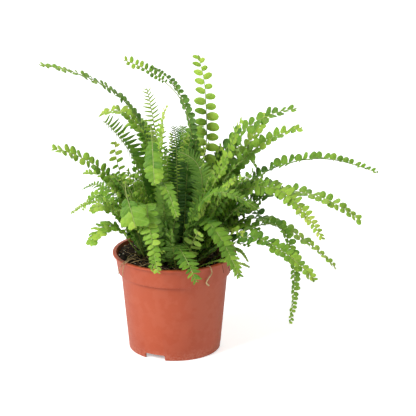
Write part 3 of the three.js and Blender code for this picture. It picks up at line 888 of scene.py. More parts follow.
# %% [markdown]
# The leaflets are where the fern is recognised. Each is a thin blade, drawn here as a grid of
# faces in seven rows and four columns. Its outline is round, lobed or narrow, it is cupped
# along its midrib, and an underside makes it a closed solid. Three slightly different blanks
# for each side of the stem keep a frond from looking stamped. A blade is one metre long here
# and is scaled down when it is set on its stem.

# %% Leaflet blanks
BLADE_COLUMNS = (-1.0, -0.5, 0.0, 0.5, 1.0)
BLADES = {
    # rows of: share along the blade, half width on the side of the frond's tip, on the foot's
    "button": [(0.0, 0.12, 0.09), (0.07, 0.35, 0.23), (0.22, 0.41, 0.33), (0.42, 0.40, 0.36),
               (0.62, 0.37, 0.35), (0.82, 0.30, 0.29), (0.95, 0.17, 0.16), (1.0, 0.05, 0.05)],
    "plain": [(0.0, 0.11, 0.09), (0.07, 0.33, 0.21), (0.22, 0.37, 0.29), (0.42, 0.34, 0.31),
              (0.62, 0.29, 0.28), (0.82, 0.21, 0.21), (0.94, 0.11, 0.11), (1.0, 0.02, 0.02)],
    "comb": [(0.0, 0.08, 0.06), (0.06, 0.27, 0.16), (0.18, 0.19, 0.15), (0.36, 0.21, 0.20),
             (0.54, 0.16, 0.15), (0.72, 0.16, 0.15), (0.88, 0.09, 0.08), (1.0, 0.02, 0.02)],
    "broad": [(0.0, 0.16, 0.12), (0.07, 0.44, 0.30), (0.20, 0.38, 0.34), (0.38, 0.46, 0.42),
              (0.56, 0.36, 0.35), (0.74, 0.39, 0.36), (0.90, 0.22, 0.21), (1.0, 0.06, 0.05)],
    "oval": [(0.0, 0.12, 0.10), (0.07, 0.24, 0.19), (0.22, 0.30, 0.26), (0.42, 0.32, 0.29),
             (0.62, 0.31, 0.28), (0.82, 0.23, 0.22), (0.94, 0.13, 0.12), (1.0, 0.03, 0.03)],
    "lobe": [(0.0, 0.40, 0.36), (0.10, 0.42, 0.37), (0.28, 0.41, 0.37), (0.48, 0.38, 0.35),
             (0.68, 0.32, 0.30), (0.84, 0.24, 0.22), (0.95, 0.13, 0.12), (1.0, 0.03, 0.03)],
    "saw": [(0.0, 0.34, 0.30), (0.10, 0.37, 0.31), (0.28, 0.33, 0.31), (0.48, 0.27, 0.26),
            (0.68, 0.21, 0.20), (0.84, 0.13, 0.13), (0.94, 0.07, 0.07), (1.0, 0.02, 0.02)],
    "lance": [(0.0, 0.06, 0.05), (0.05, 0.16, 0.10), (0.20, 0.12, 0.10), (0.42, 0.105, 0.10),
              (0.62, 0.09, 0.085), (0.80, 0.06, 0.055), (0.93, 0.03, 0.03), (1.0, 0.008, 0.008)],
}
BLADE_DROOP = {"button": 0.10, "plain": 0.14, "comb": 0.16, "broad": 0.20, "oval": 0.08,
               "lobe": 0.16, "saw": 0.16, "lance": 0.20}
BLADE_WAVE = {"button": 0.018, "plain": 0.02, "comb": 0.02, "broad": 0.05, "oval": 0.015,
              "lobe": 0.05, "saw": 0.03, "lance": 0.01}
BLADE_THICK = 0.016
# the blade bends down towards its sides, steeper and steeper, and its midrib is a groove
CUP_DEPTH, CUP_POWER, MIDRIB_DEPTH = 0.55, 1.6, 0.03
WAVES_ALONG = 9
NARROWEST, WIDEST = 0.93, 1.07
VARIANTS = 3


def leaflet_blank(kind, hand, variant):
    """A closed blade from (0,0,0) along +X, its upper face up; hand 1 is right, -1 left."""
    draw = random.Random(100 * list(BLADES).index(kind) + variant)
    wave_turn = draw.uniform(0, math.tau)
    widths = [draw.uniform(NARROWEST, WIDEST) for _ in BLADES[kind]]
    shape = bmesh.new()
    leaf_map = shape.loops.layers.uv.new("leaf")
    under = shape.faces.layers.float.new("under")
    upper, lower = [], []
    last = len(BLADES[kind]) - 1
    for row, (run, front, back) in enumerate(BLADES[kind]):
        above, below = [], []
        for column in BLADE_COLUMNS:
            half = (front if column > 0 else back) * widths[row]
            y = column * half
            cup = -CUP_DEPTH * abs(y) ** CUP_POWER + MIDRIB_DEPTH * (column != 0)
            wave_at = wave_turn + run * WAVES_ALONG + column
            wave = BLADE_WAVE[kind] * abs(column) * math.sin(wave_at)
            droop = -BLADE_DROOP[kind] * run ** 2
            middle = Vector((run, y * hand, cup + wave + droop))
            rim = abs(column) == 1.0 or row in (0, last)
            top = shape.verts.new(middle)
            above.append(top)
            if rim:
                below.append(top)
            else:
                top.co.z += BLADE_THICK
                below.append(shape.verts.new(middle - Vector((0, 0, BLADE_THICK))))
        upper.append(above)
        lower.append(below)
    for side, grid in ((0.0, upper), (1.0, lower)):
        for row in range(last):
            for n in range(len(BLADE_COLUMNS) - 1):
                corners = [(row, n), (row + 1, n), (row + 1, n + 1), (row, n + 1)]
                face = shape.faces.new([grid[r][c] for r, c in corners])
                face.smooth = True
                face[under] = side
                for loop, (r, c) in zip(face.loops, corners):
                    loop[leaf_map].uv = (BLADE_COLUMNS[c] / 2 + 0.5, BLADES[kind][r][0])
    for edge in shape.edges:
        sides = {round(f[under]) for f in edge.link_faces}
        edge.smooth = len(sides) == 1
    side_name = "a_right" if hand > 0 else "b_left"
    return bpy.data.objects.new(f"{kind}_{variant}_{side_name}", mesh_of(shape, "blank"))


leaf_blanks = {}
for kind in BLADES:
    made = [leaflet_blank(kind, hand, v) for v in range(VARIANTS) for hand in (1, -1)]
    leaf_blanks[kind] = blank_collection(f"{kind}_blanks", made)
    print(kind, "blade faces:", len(made[0].data.polygons))

# %% [markdown]
# A leaf's green runs from a deep, bluish green on old blades to a yellow green on young ones.
# Two attributes carry this to the material: age, a number that rises from the old blades at a
# frond's foot to the young ones at its tip and on a few fronds is also lowered as painted shade,
# on one raised as painted light, and shade, which differs from blade to blade. The leaf's own map,
# u across and v along, draws the pale midrib, the slanted side veins and the lighter margin, and
# the underside is paler and matt.

# %% Shared effect: leaf veins
vein_group, given, result = new_group(
    "leaf_veins",
    {
        "Leaf Map": ("NodeSocketVector", None),
        "Vein Count": ("NodeSocketFloat", 9.0),
        "Slant": ("NodeSocketFloat", 0.35),
    },
    {"Veins": "NodeSocketFloat", "Midrib": "NodeSocketFloat", "Margin": "NodeSocketFloat"},
)
across = node(vein_group, "ShaderNodeSeparateXYZ", {0: given["Leaf Map"]}).outputs
off_middle = math_node(
    vein_group, "ABSOLUTE", math_node(vein_group, "SUBTRACT", across["X"], 0.5)
)
midrib = band(vein_group, off_middle, 0.0, 0.055, 1.0, 0.0)
slanted = math_node(
    vein_group, "SUBTRACT", across["Y"],
    math_node(vein_group, "MULTIPLY", off_middle, given["Slant"]),
)
stripe = math_node(
    vein_group, "FRACT", math_node(vein_group, "MULTIPLY", slanted, given["Vein Count"])
)
from_line = math_node(
    vein_group, "ABSOLUTE", math_node(vein_group, "SUBTRACT", stripe, 0.5)
)
side_vein = band(vein_group, from_line, 0.0, 0.16, 1.0, 0.0)
fading = band(vein_group, off_middle, 0.3, 0.48, 1.0, 0.0)
side_vein = math_node(vein_group, "MULTIPLY", side_vein, fading)
margin = band(vein_group, off_middle, 0.4, 0.5, 0.0, 1.0)
vein_group.links.new(side_vein, result.inputs["Veins"])
vein_group.links.new(midrib, result.inputs["Midrib"])
vein_group.links.new(margin, result.inputs["Margin"])


# %% Leaf finish and stem finish
def leaf_finish():
    """Green that follows age (which carries painted shade and painted light on a few fronds) and a
    random shade, with veins, a pale margin and a matt underside.
    """
    material, tree, shader, place = new_material("leaf_finish")
    under = attribute(tree, "under")
    leaf_map = node(tree, "ShaderNodeUVMap", uv_map="leaf").outputs[0]
    veins = use_group(tree, vein_group, {"Leaf Map": leaf_map})
    patch = math_node(tree, "SUBTRACT", mottle(tree, place, 300.0, 0.3)["Mask"], 0.5)
    drift = math_node(tree, "MULTIPLY", patch, 0.12)
    # age holds the fronds' tones, and among them the painted shade and painted light of a few fronds
    tone = math_node(tree, "ADD", attribute(tree, "age"), attribute(tree, "shade"))
    ramp = node(tree, "ShaderNodeValToRGB", {0: math_node(tree, "ADD", tone, drift)})
    stops = ramp.color_ramp.elements
    stops[0].position, stops[0].color = 0.0, paint(48, 88, 34)
    stops[1].position, stops[1].color = 1.0, paint(208, 224, 104)
    for position, colour in ((0.28, paint(86, 132, 42)), (0.55, paint(130, 172, 54)),
                             (0.8, paint(174, 206, 78))):
        stop = stops.new(position)
        stop.color = colour
    green = ramp.outputs[0]
    pale = mix_colour(tree, 0.5, green, paint(172, 204, 100))
    for mark, strength in (("Midrib", 0.55), ("Veins", 0.22), ("Margin", 0.3)):
        marked = math_node(tree, "MULTIPLY", veins[mark], strength)
        green = mix_colour(tree, marked, green, pale)
    beneath = mix_colour(tree, 0.45, green, paint(132, 172, 82))
    green = mix_colour(tree, under, green, beneath)
    tree.links.new(green, shader.inputs["Base Color"])
    grain = fine_grain(tree, place, 1800.0)
    lines = math_node(tree, "ADD", veins["Midrib"], veins["Veins"])
    half_grain = math_node(tree, "MULTIPLY", grain, 0.5)
    height = math_node(tree, "SUBTRACT", half_grain, math_node(tree, "MULTIPLY", lines, 0.5))
    bump = node(tree, "ShaderNodeBump", {"Height": height, "Distance": 0.00018})
    tree.links.new(bump.outputs[0], shader.inputs["Normal"])
    gloss = band(tree, grain, 0.25, 0.75, 0.40, 0.56)
    matt = math_node(tree, "ADD", gloss, math_node(tree, "MULTIPLY", under, 0.2))
    tree.links.new(matt, shader.inputs["Roughness"])
    shader.inputs["Specular IOR Level"].default_value = 0.22
    shader.inputs["Subsurface Weight"].default_value = 0.3
    shader.inputs["Subsurface Radius"].default_value = (0.5, 1.0, 0.2)
    shader.inputs["Subsurface Scale"].default_value = 0.0006
    return material


def stem_finish():
    """A green stem that turns brown at its foot and pale at its tip."""
    material, tree, shader, place = new_material("stem_finish")
    run = attribute(tree, "run")
    green = (paint(112, 136, 50), paint(146, 168, 76))
    mixed = mottle(tree, place, 350.0, 0.25, *green)["Colour"]
    brown = band(tree, run, 0.0, 0.16, 1.0, 0.0)
    young = band(tree, run, 0.45, 1.0, 0.0, 0.45)
    colour = mix_colour(tree, young, mixed, paint(198, 206, 134))
    colour = mix_colour(tree, brown, colour, paint(118, 92, 50))
    tree.links.new(colour, shader.inputs["Base Color"])
    roughen(tree, shader, fine_grain(tree, place, 1200.0), 0.00012, 0.45, 0.65)
    return material


leaf_skin = leaf_finish()
stem_skin = stem_finish()
hair_skin = crumbly("hair_finish", paint(112, 82, 50), paint(172, 138, 92), 900.0, 0.0001)
print("leaf and stem finishes:", leaf_skin.name, stem_skin.name, hair_skin.name)

# %% [markdown]
# A frond is one rule repeated: along a bent stem, blades stand in pairs, shorter at the foot,
# longest in the middle and short again at the tip. The script lays the stem's line and the
# blades' places; the tree below does the rest. It takes the line for the stem and the loose
# points for blades. On each point it puts a blank, turned as the point's attribute says and
# tilted a little by chance, and it scatters brown scales on the lowest part of the stem.

# %% Hair blank
THIRDS_OF_A_TURN = (0.0, 2.094, 4.189)
HAIR_RINGS = ((0.0, 0.07, 0.0), (0.5, 0.05, 0.12))
HAIR_TIP = (0.4, 0.0, 1.0)


def hair_blank():
    """A thin bent scale, one metre long, of rings that each have a height, width and lean."""
    shape = bmesh.new()
    rings = []
    for height, thick, lean in HAIR_RINGS:
        ring = []
        for turn in THIRDS_OF_A_TURN:
            x, y = around(thick, turn)
            ring.append(shape.verts.new((x + lean, y, height)))
        rings.append(ring)
    low, high = rings
    tip = shape.verts.new(HAIR_TIP)
    shape.faces.new(low)
    for n in range(3):
        after = (n + 1) % 3
        shape.faces.new([low[n], low[after], high[after], high[n]])
        shape.faces.new([high[n], high[after], tip])
    return bpy.data.objects.new("hair_blank", mesh_of(shape, "hair_blank"))


hair = hair_blank()
print("hair faces:", len(hair.data.polygons))

# %% Tree: blades and scales on a stem
# a blade turns more about its own length than it tilts
TURN_ABOUT_BLADE = 2.4
# the share of the stem that carries scales, and their lengths in metres
SCALY_STRETCH = 0.22
SHORTEST_HAIR, LONGEST_HAIR = 0.0006, 0.0016

frond_tree, given, result = new_geometry_tree("frond", {
    "Blade Blanks": ("NodeSocketCollection", None),
    "Hair Blank": ("NodeSocketObject", None),
    "Stem Sides": ("NodeSocketInt", 7),
    "Tilt": ("NodeSocketFloat", 0.19),
    "Size Spread": ("NodeSocketFloat", 0.11),
    "Hairs Per Square Metre": ("NodeSocketFloat", 300000.0),
    "Seed": ("NodeSocketInt", 1),
    "Leaf Material": ("NodeSocketMaterial", None),
    "Stem Material": ("NodeSocketMaterial", None),
    "Hair Material": ("NodeSocketMaterial", None),
})
on_stem = named(frond_tree, "on_stem", "BOOLEAN")
parted = node(
    frond_tree, "GeometryNodeSeparateGeometry", {0: given["Geometry"], 1: on_stem},
    domain="POINT",
).outputs
stem = node(frond_tree, "GeometryNodeGroup", {
    "Geometry": parted[0], "Sides": given["Stem Sides"], "Material": given["Stem Material"],
}, node_tree=thread_tree).outputs[0]

most = given["Tilt"]
least = math_node(frond_tree, "MULTIPLY", most, -1.0)
most_own = math_node(frond_tree, "MULTIPLY", most, TURN_ABOUT_BLADE)
least_own = math_node(frond_tree, "MULTIPLY", most_own, -1.0)
low_tilt = node(frond_tree, "ShaderNodeCombineXYZ", {0: least_own, 1: least, 2: least}).outputs[0]
high_tilt = node(frond_tree, "ShaderNodeCombineXYZ", {0: most_own, 1: most, 2: most}).outputs[0]
tilt = chance(frond_tree, low_tilt, high_tilt, given["Seed"], vector=True)
tilt_turn = node(frond_tree, "FunctionNodeEulerToRotation", {0: tilt}).outputs[0]
turned = node(
    frond_tree, "FunctionNodeRotateRotation",
    {0: named(frond_tree, "turn", "QUATERNION"), 1: tilt_turn}, rotation_space="LOCAL",
).outputs[0]
smaller = math_node(frond_tree, "SUBTRACT", 1.0, given["Size Spread"])
larger = math_node(frond_tree, "ADD", 1.0, given["Size Spread"])
spread = chance(frond_tree, smaller, larger, given["Seed"])
set_blades = node(frond_tree, "GeometryNodeInstanceOnPoints", {
    "Points": node(frond_tree, "GeometryNodeMeshToPoints", {0: parted[1]}).outputs[0],
    "Instance": blanks_of(frond_tree, given["Blade Blanks"]),
    "Pick Instance": True, "Instance Index": named(frond_tree, "which", "INT"),
    "Rotation": turned,
    "Scale": math_node(frond_tree, "MULTIPLY", named(frond_tree, "size", "FLOAT"), spread),
})
green_blades = made_real(frond_tree, set_blades.outputs[0], given["Leaf Material"])

low_stem = node(
    frond_tree, "FunctionNodeCompare",
    {0: named(frond_tree, "run", "FLOAT"), 1: SCALY_STRETCH}, operation="LESS_THAN",
).outputs[0]
hair_spots = node(frond_tree, "GeometryNodeDistributePointsOnFaces", {
    "Mesh": stem, "Selection": low_stem,
    "Density": given["Hairs Per Square Metre"], "Seed": given["Seed"],
}).outputs
hair_in = node(frond_tree, "GeometryNodeObjectInfo", {"Object": given["Hair Blank"]})
set_hairs = node(frond_tree, "GeometryNodeInstanceOnPoints", {
    "Points": hair_spots["Points"], "Instance": hair_in.outputs["Geometry"],
    "Rotation": hair_spots["Rotation"],
    "Scale": chance(frond_tree, SHORTEST_HAIR, LONGEST_HAIR, given["Seed"]),
})
brown_hairs = made_real(frond_tree, set_hairs.outputs[0], given["Hair Material"])

joined = node(frond_tree, "GeometryNodeJoinGeometry")
for part in (green_blades, stem, brown_hairs):
    frond_tree.links.new(part, joined.inputs[0])
frond_tree.links.new(joined.outputs[0], result.inputs[0])
print("frond tree nodes:", len(frond_tree.nodes))

# %% [markdown]
# Eight habits of blade grow on this plant: round buttons on the long wiry fronds, plain ones,
# slim ovals, narrow combs and finer lances on the upright ones, broad ones, saw teeth, and
# lobes that have run together into one leaf. Each habit has how far its blades lean from the
# stem, how they are set like the slats of a louvre, how close they stand, how far each is
# tilted by chance, and the greens at its foot and tip. Single fronds that differ from their
# habit follow, each in a list of what it does differently.

# %% Habits of growth
HABITS = {
    # lean and louvre in degrees, pitch as a share of blade length, tilt in radians, tones
    "button": {"lean": 80, "louvre": 10, "pitch": 0.71, "tilt": 0.19, "tone": (0.22, 0.56)},
    "plain": {"lean": 74, "louvre": 10, "pitch": 0.60, "tilt": 0.19, "tone": (0.30, 0.66)},
    "comb": {"lean": 70, "louvre": 8, "pitch": 0.40, "tilt": 0.17, "tone": (0.20, 0.50)},
    "broad": {"lean": 68, "louvre": 6, "pitch": 0.50, "tilt": 0.17, "tone": (0.36, 0.72)},
    "oval": {"lean": 84, "louvre": 6, "pitch": 0.78, "tilt": 0.10, "tone": (0.38, 0.82)},
    "lobe": {"lean": 66, "louvre": 3, "pitch": 0.55, "tilt": 0.06, "tone": (0.36, 0.72)},
    "saw": {"lean": 62, "louvre": 5, "pitch": 0.46, "tilt": 0.12, "tone": (0.30, 0.64)},
    "lance": {"lean": 78, "louvre": 4, "pitch": 0.21, "tilt": 0.07, "tone": (0.10, 0.34)},
}

USUAL_TIP_SIZE = 0.45
USUAL_TURN = 0.55
LEAFY_FROM = {
    # fronds that carry blades only further out, as a share of the stem
    "front_high_broad": 0.81, "front_left_broad": 0.83, "top_pale": 0.8, "left_high_pale": 0.6,
    "back_left_high": 0.36, "left_drooping": 0.52, "left_short": 0.3, "left_upright": 0.66,
    "top_left_long": 0.42,
}
PITCHES = {
    # fronds whose blades stand closer or further apart than their habit
    "upright_comb": 0.42, "tall": 0.76, "core_middle": 0.36, "core_left": 0.8,
    "core_right": 0.8, "middle_comb": 0.28, "left_comb": 0.23, "left_upright": 1.1,
    "right_front_low": 0.6,
}
TIP_SIZES = {
    # how large the last blades are against the longest, where it isn't USUAL_TIP_SIZE
    "left_long": 0.8, "top_left_long": 0.85, "top_pale": 0.7, "right_round": 0.6,
    "right_front_low": 0.6, "right_high": 0.6, "right_high_low": 0.6, "left_high_pale": 0.7,
}
SHORT_SIDES = {
    # fronds whose blades stay short on one side, as a share of the other side's
    "left_comb": 0.4,
}
LEANS = {
    # fronds whose blades are swept back or forward, in degrees from the stem
    "left_comb": 122, "middle_comb": 58, "front_left_broad": 60,
}
TURNS = {
    # how far a frond turns to the light, from not at all to fully, where it isn't USUAL_TURN
    "right_hanging": 0.45, "tall": 0.1, "left_comb": 0.0, "left_upright": 0.7,
    "middle_comb": 0.6, "back_comb": 0.6, "front_high_broad": 0.0, "front_left_broad": 0.0,
    "front_left_over": 0.0, "front_comb": 0.0, "front_over": 0.0, "front_right_over": 0.3,
    "right_broad": 0.8, "top_dark": 0.0, "top_pale": 0.8, "top_left_long": 0.35,
    "right_high": 0.6, "right_high_low": 0.65, "right_long": 0.2, "right_round": 0.65,
    "right_low_long": 0.4, "right_front_low": 0.5,
}
TONES = {
    # fronds given other tones than their habit, at the foot and at the tip; a few of these tones are
    # painted shade and painted light, as noted at each
    # top_dark's dark tone is painted shade: its blades are darkened to stand for leaves seen from
    # below in shadow
    "top_left_long": (0.25, 0.72), "top_dark": (-0.12, 0.16), "right_inner_dark": (0.05, 0.2),
    "left_comb": (0.16, 0.5), "back_comb": (0.10, 0.34), "right_high": (0.05, 0.5),
    "tall": (0.38, 0.82), "front_high_broad": (0.25, 0.62), "front_left_broad": (0.3, 0.8),
    "left_drooping": (0.5, 0.72), "left_high_pale": (0.5, 0.95), "curl": (0.1, 0.9),
    "right_upright_pale": (0.25, 0.75), "right_back_pale": (0.45, 0.85),
    "top_pale": (0.35, 0.85), "right_broad": (0.12, 0.9), "core_middle": (-0.1, 0.1),
    "middle_comb": (0.18, 0.45), "right_hanging": (0.25, 0.7), "front_level": (0.15, 0.5),
    # right_front_low's dark foot is painted shade, darkened against the strong light that falls
    # there
    "right_front_low": (-0.1, 0.75), "front_comb": (0.3, 0.55), "right_round": (0.25, 0.75),
    "right_low_long": (0.3, 0.85), "left_long": (0.38, 0.74), "left_pale": (0.45, 0.75),
    # left_upright's pale tone is painted light: its blades are lightened as if lit from behind
    "left_thin": (0.4, 0.7), "left_upright": (0.6, 0.95), "upright_comb": (0.35, 0.8),
    "left_short": (0.45, 0.7), "front_right_over": (0.18, 0.6), "right_low_thin": (0.5, 0.75),
    "right_low_short": (0.5, 0.75),
}
print("habits:", list(HABITS))

# %% [markdown]
# One row places one frond, in mm about the pot's axis: where it leaves the soil, a point it
# passes at mid way, its tip, the longest blade, the share of the stem that the CAD model leaves
# bare, and in degrees how much the two rows of blades fold up and how far the frond rolls
# about its stem.

# %% Fronds
FRONDS = [
    ("top_left_long", "button", (-8, 10), (-33, 25, 221), (-128, 10, 281), 7.5, 0.24, 12, 20),
    ("top_dark", "button", (3, 14), (16, 18, 217), (-22, 0, 281), 7.5, 0.29, 25, 15),
    ("top_pale", "oval", (-3, 20), (18, 40, 212), (-48, 40, 278), 6.5, 0.3, 20, 30),
    ("tall", "oval", (8, 8), (30.5, 30, 201), (23, 35, 284.5), 13.3, 0.26, 5, 0),
    ("upright_comb", "lance", (-10, 2), (-14, 12, 186), (-26, 15, 257), 11, 0.25, 10, 0),
    ("curl", "plain", (-14, -4), (-13, -5, 199), (-6, -10, 246), 8.5, 0.25, 15, 0),
    ("left_high_pale", "plain", (-14, 14), (-30, 30, 205), (-73, 45, 221), 9, 0.29, 20, 30),
    ("left_comb", "lance", (-16, 4), (-34.5, 0, 180), (-67, -15, 233), 20, 0.22, 26, -51),
    ("left_long", "button", (-22, 6), (-61, 10, 166), (-117, 0, 200), 9, 0.22, 15, 10),
    ("left_upright", "oval", (-24, 0), (-48, -7, 163), (-55, -18, 214), 7.5, 0.22, 10, 0),
    ("left_pale", "plain", (-20, 16), (-55, 30, 153), (-90, 40, 164), 8.5, 0.2, 15, 20),
    ("left_far", "comb", (-16, 24), (-55, 55, 137), (-92, 80, 136), 9, 0.2, 10, 20),
    ("left_thin", "plain", (-28, -4), (-55, -15, 149), (-98, -25, 144), 4.6, 0.22, 10, 10),
    ("left_short", "broad", (-26, -12), (-53, -30, 145), (-78, -45, 153), 10, 0.18, 10, 20),
    ("left_drooping", "broad", (-30, -10), (-57, -30, 133), (-79, -50, 121), 11, 0.14, 10, 30),
    ("front_high_broad", "lobe", (-6, -8), (-20, -20, 225), (-17, -62, 185), 9.5, 0.29, 5, 0),
    ("front_left_broad", "lobe", (-20, -16), (-44, -45, 179), (-35, -78, 148), 15, 0.22, 5, 0),
    ("front_left_over", "plain", (-10, -26), (-25, -55, 162), (-14, -84, 105), 9.5, 0.14, 10, 0),
    ("front_comb", "saw", (-2, -16), (-10, -45, 177), (4, -72, 156), 9.5, 0.18, 10, 0),
    ("front_over", "comb", (2, -30), (3, -55, 121), (22, -82, 95), 11, 0.1, 10, 0),
    ("front_right_over", "saw", (10, -26), (27, -45, 143), (62, -78, 98), 11.5, 0.11, 10, 0),
    ("right_low_thin", "saw", (22, -22), (50, -42, 102), (72, -58, 101), 3.2, 0.11, 10, 0),
    ("right_low_short", "saw", (32, -18), (52, -25, 108), (71, -32, 98), 3.0, 0.11, 10, 0),
    ("right_long", "button", (20, 6), (95, 5, 178.5), (195, -10, 180), 9.5, 0.22, 30, 0),
    ("right_round", "button", (24, 0), (97, -10, 159), (178, -30, 138), 9.5, 0.22, 10, -40),
    ("right_broad", "plain", (18, -8), (78, -28, 171), (141, -55, 128), 9.5, 0.2, 5, -30),
    ("right_low_long", "button", (28, -6), (80, -15, 134.5), (156, -25, 88), 9.5, 0.18, 10, -25),
    ("right_hanging", "button", (24, -14), (101, -35, 133), (111, -50, 41), 7.2, 0.18, 25, -20),
    ("right_front_low", "button", (18, -22), (72, -48, 127), (133, -75, 93), 8.8, 0.14, 10, -10),
    ("right_high", "button", (14, 13), (50, 22, 193), (117, 20, 235), 11.5, 0.22, 10, -40),
    ("right_high_low", "plain", (16, 4), (56, 10, 177), (122, 5, 220), 12, 0.22, 15, -35),
    ("right_upright_pale", "plain", (12, -4), (46, -5, 186), (66, -10, 232), 11.5, 0.25, 10, -30),
    ("right_back_pale", "plain", (20, 19), (59, 45, 166), (93, 60, 222), 12, 0.25, 10, -30),
    ("back_comb", "lance", (2, 24), (5, 40, 173), (8, 55, 208), 11, 0.22, 10, 0),
    ("middle_comb", "lance", (8, -12), (28, -20, 168), (5, -38, 209), 12, 0.22, 10, 0),
    ("front_level", "comb", (6, -20), (30, -55, 168), (80, -62, 160), 10, 0.22, 10, -20),
    ("right_inner_dark", "button", (33, 9), (56, 16, 138), (90, 6, 124), 10.5, 0.14, 15, -20),
    ("back_left_high", "plain", (-9, 26), (-28, 60, 195), (-52, 100, 190), 10, 0.23, 10, 0),
    ("back_high", "plain", (8, 26), (18, 75, 190), (24, 118, 176), 10, 0.23, 10, 0),
    ("back_right_high", "plain", (14, 24), (48, 72, 172), (82, 108, 150), 10, 0.22, 10, 0),
    ("back_middle", "comb", (-2, 32), (-6, 84, 158), (-8, 136, 118), 12, 0.2, 10, 0),
    ("back_right", "plain", (26, 24), (78, 58, 148), (128, 82, 106), 9, 0.2, 10, 0),
    ("back_left", "plain", (-16, 32), (-52, 84, 142), (-74, 120, 106), 9, 0.2, 10, 0),
    ("back_right_low", "plain", (16, 34), (40, 90, 130), (60, 128, 84), 9, 0.18, 10, 0),
    ("back_left_low", "plain", (-8, 38), (-28, 84, 126), (-44, 112, 84), 9, 0.14, 10, 0),
    ("back_far_left", "plain", (-26, 18), (-66, 42, 138), (-92, 58, 120), 8, 0.18, 10, 0),
    ("inner_back", "plain", (20, 29), (34, 64, 158), (50, 92, 150), 9, 0.2, 10, 0),
    ("core_left", "plain", (-14, -12), (-26, -20, 150), (-44, -34, 190), 7, 0.25, 10, 0),
    ("core_middle", "lance", (0, 1), (4, 4, 165), (0, -6, 225), 9, 0.25, 10, 180),
    ("core_right", "plain", (16, -15), (34, -24, 150), (58, -36, 182), 7, 0.25, 10, 0),
]
print("fronds:", len(FRONDS))

# %% [markdown]
# The stem's line is a bow through three points that wanders a little, by a noise whose seed is
# fixed, so that every run grows the same plant. Walking the line by length, not by the bow's
# own parameter, keeps the blades evenly spaced. A plant in a window turns its blades to the
# light: a frond twists in its lower half towards the bright front and keeps to it further out.

# %% The stem's line
LIGHT_SIDE = Vector((-0.1, -0.75, 0.65)).normalized()
BACK_FROM = math.radians(125)
WANDER_SCALE, WANDER_PACE = 0.31, 3.4
LINE_STEPS = 240
# noise_vector has a seed of its own, which follows the clock unless a script sets it
WANDER_SEED = 1795554954
noise.seed_set(WANDER_SEED)


class StemLine:
    """A bow through foot, mid and tip that can be asked for a point at a share of its length."""

    def __init__(self, root, mid, tip, roll, turn_to_light=0.5, wave=0.0):
        foot = Vector((*root, SOIL_TOP))
        tip = Vector(tip)
        bend = 2 * Vector(mid) - (foot + tip) / 2
        self.points = []
        for step in range(LINE_STEPS + 1):
            t = step / LINE_STEPS
            drift = noise.noise_vector(tip * WANDER_SCALE + Vector((t * WANDER_PACE, 0, 0)))
            self.points.append(
                foot * (1 - t) ** 2 + bend * 2 * t * (1 - t) + tip * t ** 2
                + drift * wave * math.sin(math.pi * t) ** 0.5
            )
        self.walked = [0.0]
        for before, after in zip(self.points, self.points[1:]):
            self.walked.append(self.walked[-1] + (after - before).length)
        self.length = self.walked[-1]
        heading = Vector((tip.x - foot.x, tip.y - foot.y, 0)).normalized()
        self.across = heading.cross(Vector((0, 0, 1)))
        self.shows_back = False
        self.turn_to_light = 0.0
        _, along, _, up = self.stance(0.5, roll)
        self.shows_back = abs(self.turn_to(LIGHT_SIDE, along, up)) > BACK_FROM
        self.turn_to_light = turn_to_light

    def at(self, share):
        """The point and the direction at a share of the length."""
        wanted = min(max(share, 0.0), 1.0) * self.length
        low = 0
        while low < len(self.walked) - 2 and self.walked[low + 1] < wanted:
            low += 1
        step = self.walked[low + 1] - self.walked[low]
        inside = (wanted - self.walked[low]) / step
        before, after = self.points[low], self.points[low + 1]
        return before.lerp(after, inside), (after - before).normalized()

    def stance(self, share, roll):
        """The point, along, side and up of the frond at a share of its length."""
        point, along = self.at(share)
        side = (self.across - along * self.across.dot(along)).normalized()
        side = Quaternion(along, math.radians(roll)) @ side
        up = side.cross(along)
        turn = self.turn_to(LIGHT_SIDE, along, up) * self.turn_to_light * min(1, 2 * share)
        side = Quaternion(along, turn) @ side
        return point, along, side, side.cross(along)

    def turn_to(self, wanted, along, up):
        """The turn about the stem that would face the frond's nearer side to the light."""
        if self.shows_back:
            wanted = -wanted
        ahead = (wanted - along * wanted.dot(along)).normalized()
        return math.atan2(up.cross(ahead).dot(along), up.dot(ahead))


# %% Where the blades stand
STEM_THICK, STEM_THIN = 0.72, 0.3
STEEPEST_FOLD = 62
RIM_RADIUS, RIM_TOP, OVER_SOIL = 61.5, 99.5, 1.5
# blades start at FOOT_SIZE of the longest, grow outwards and get smaller again at the tip
FOOT_SIZE, FOOT_GROWTH, TIP_GROWTH = 0.55, 1.6, 1.8
# small blades stand closer together, and the left row stands further out than the right row
SMALL_PITCH, PITCH_GROWTH, LEFT_STEP = 0.45, 0.55, 0.45
# each blade folds up a little unevenly, in degrees, and the last ones lean less
FOLD_SPREAD, CLOSES_FROM, CLOSES_BY = 7, 0.75, 0.35
# how far a blade may reach past the tip, in mm, and how unevenly green the blades are
PAST_TIP, SHADE_SPREAD = 1.5, 0.13
# one more blade ends the stem, a little smaller than the one before it
END_PLACE, END_SIZE, END_SHADE = 0.997, 0.9, 0.03


def blade_share_size(s, tip_size):
    """How long a blade is at a share of the leafy stretch, against the longest one."""
    return min(1, FOOT_SIZE + FOOT_GROWTH * s) * min(1, tip_size + TIP_GROWTH * (1 - s))


def hits_pot(point):
    """True for a point inside the pot's rim or wall, or under the soil, in mm."""
    out = math.hypot(point.x, point.y)
    if out > RIM_RADIUS:
        return False
    ground = SOIL_TOP + lumps(point.x, point.y, SOIL_TOP) + OVER_SOIL
    return point.z < (RIM_TOP if out > BED_EDGE else ground)


def blade_turn(out, wide):
    """The turn that lays a blank's length along out and its width along wide."""
    up = out.cross(wide)
    return Matrix((out, wide, up)).transposed().to_quaternion()


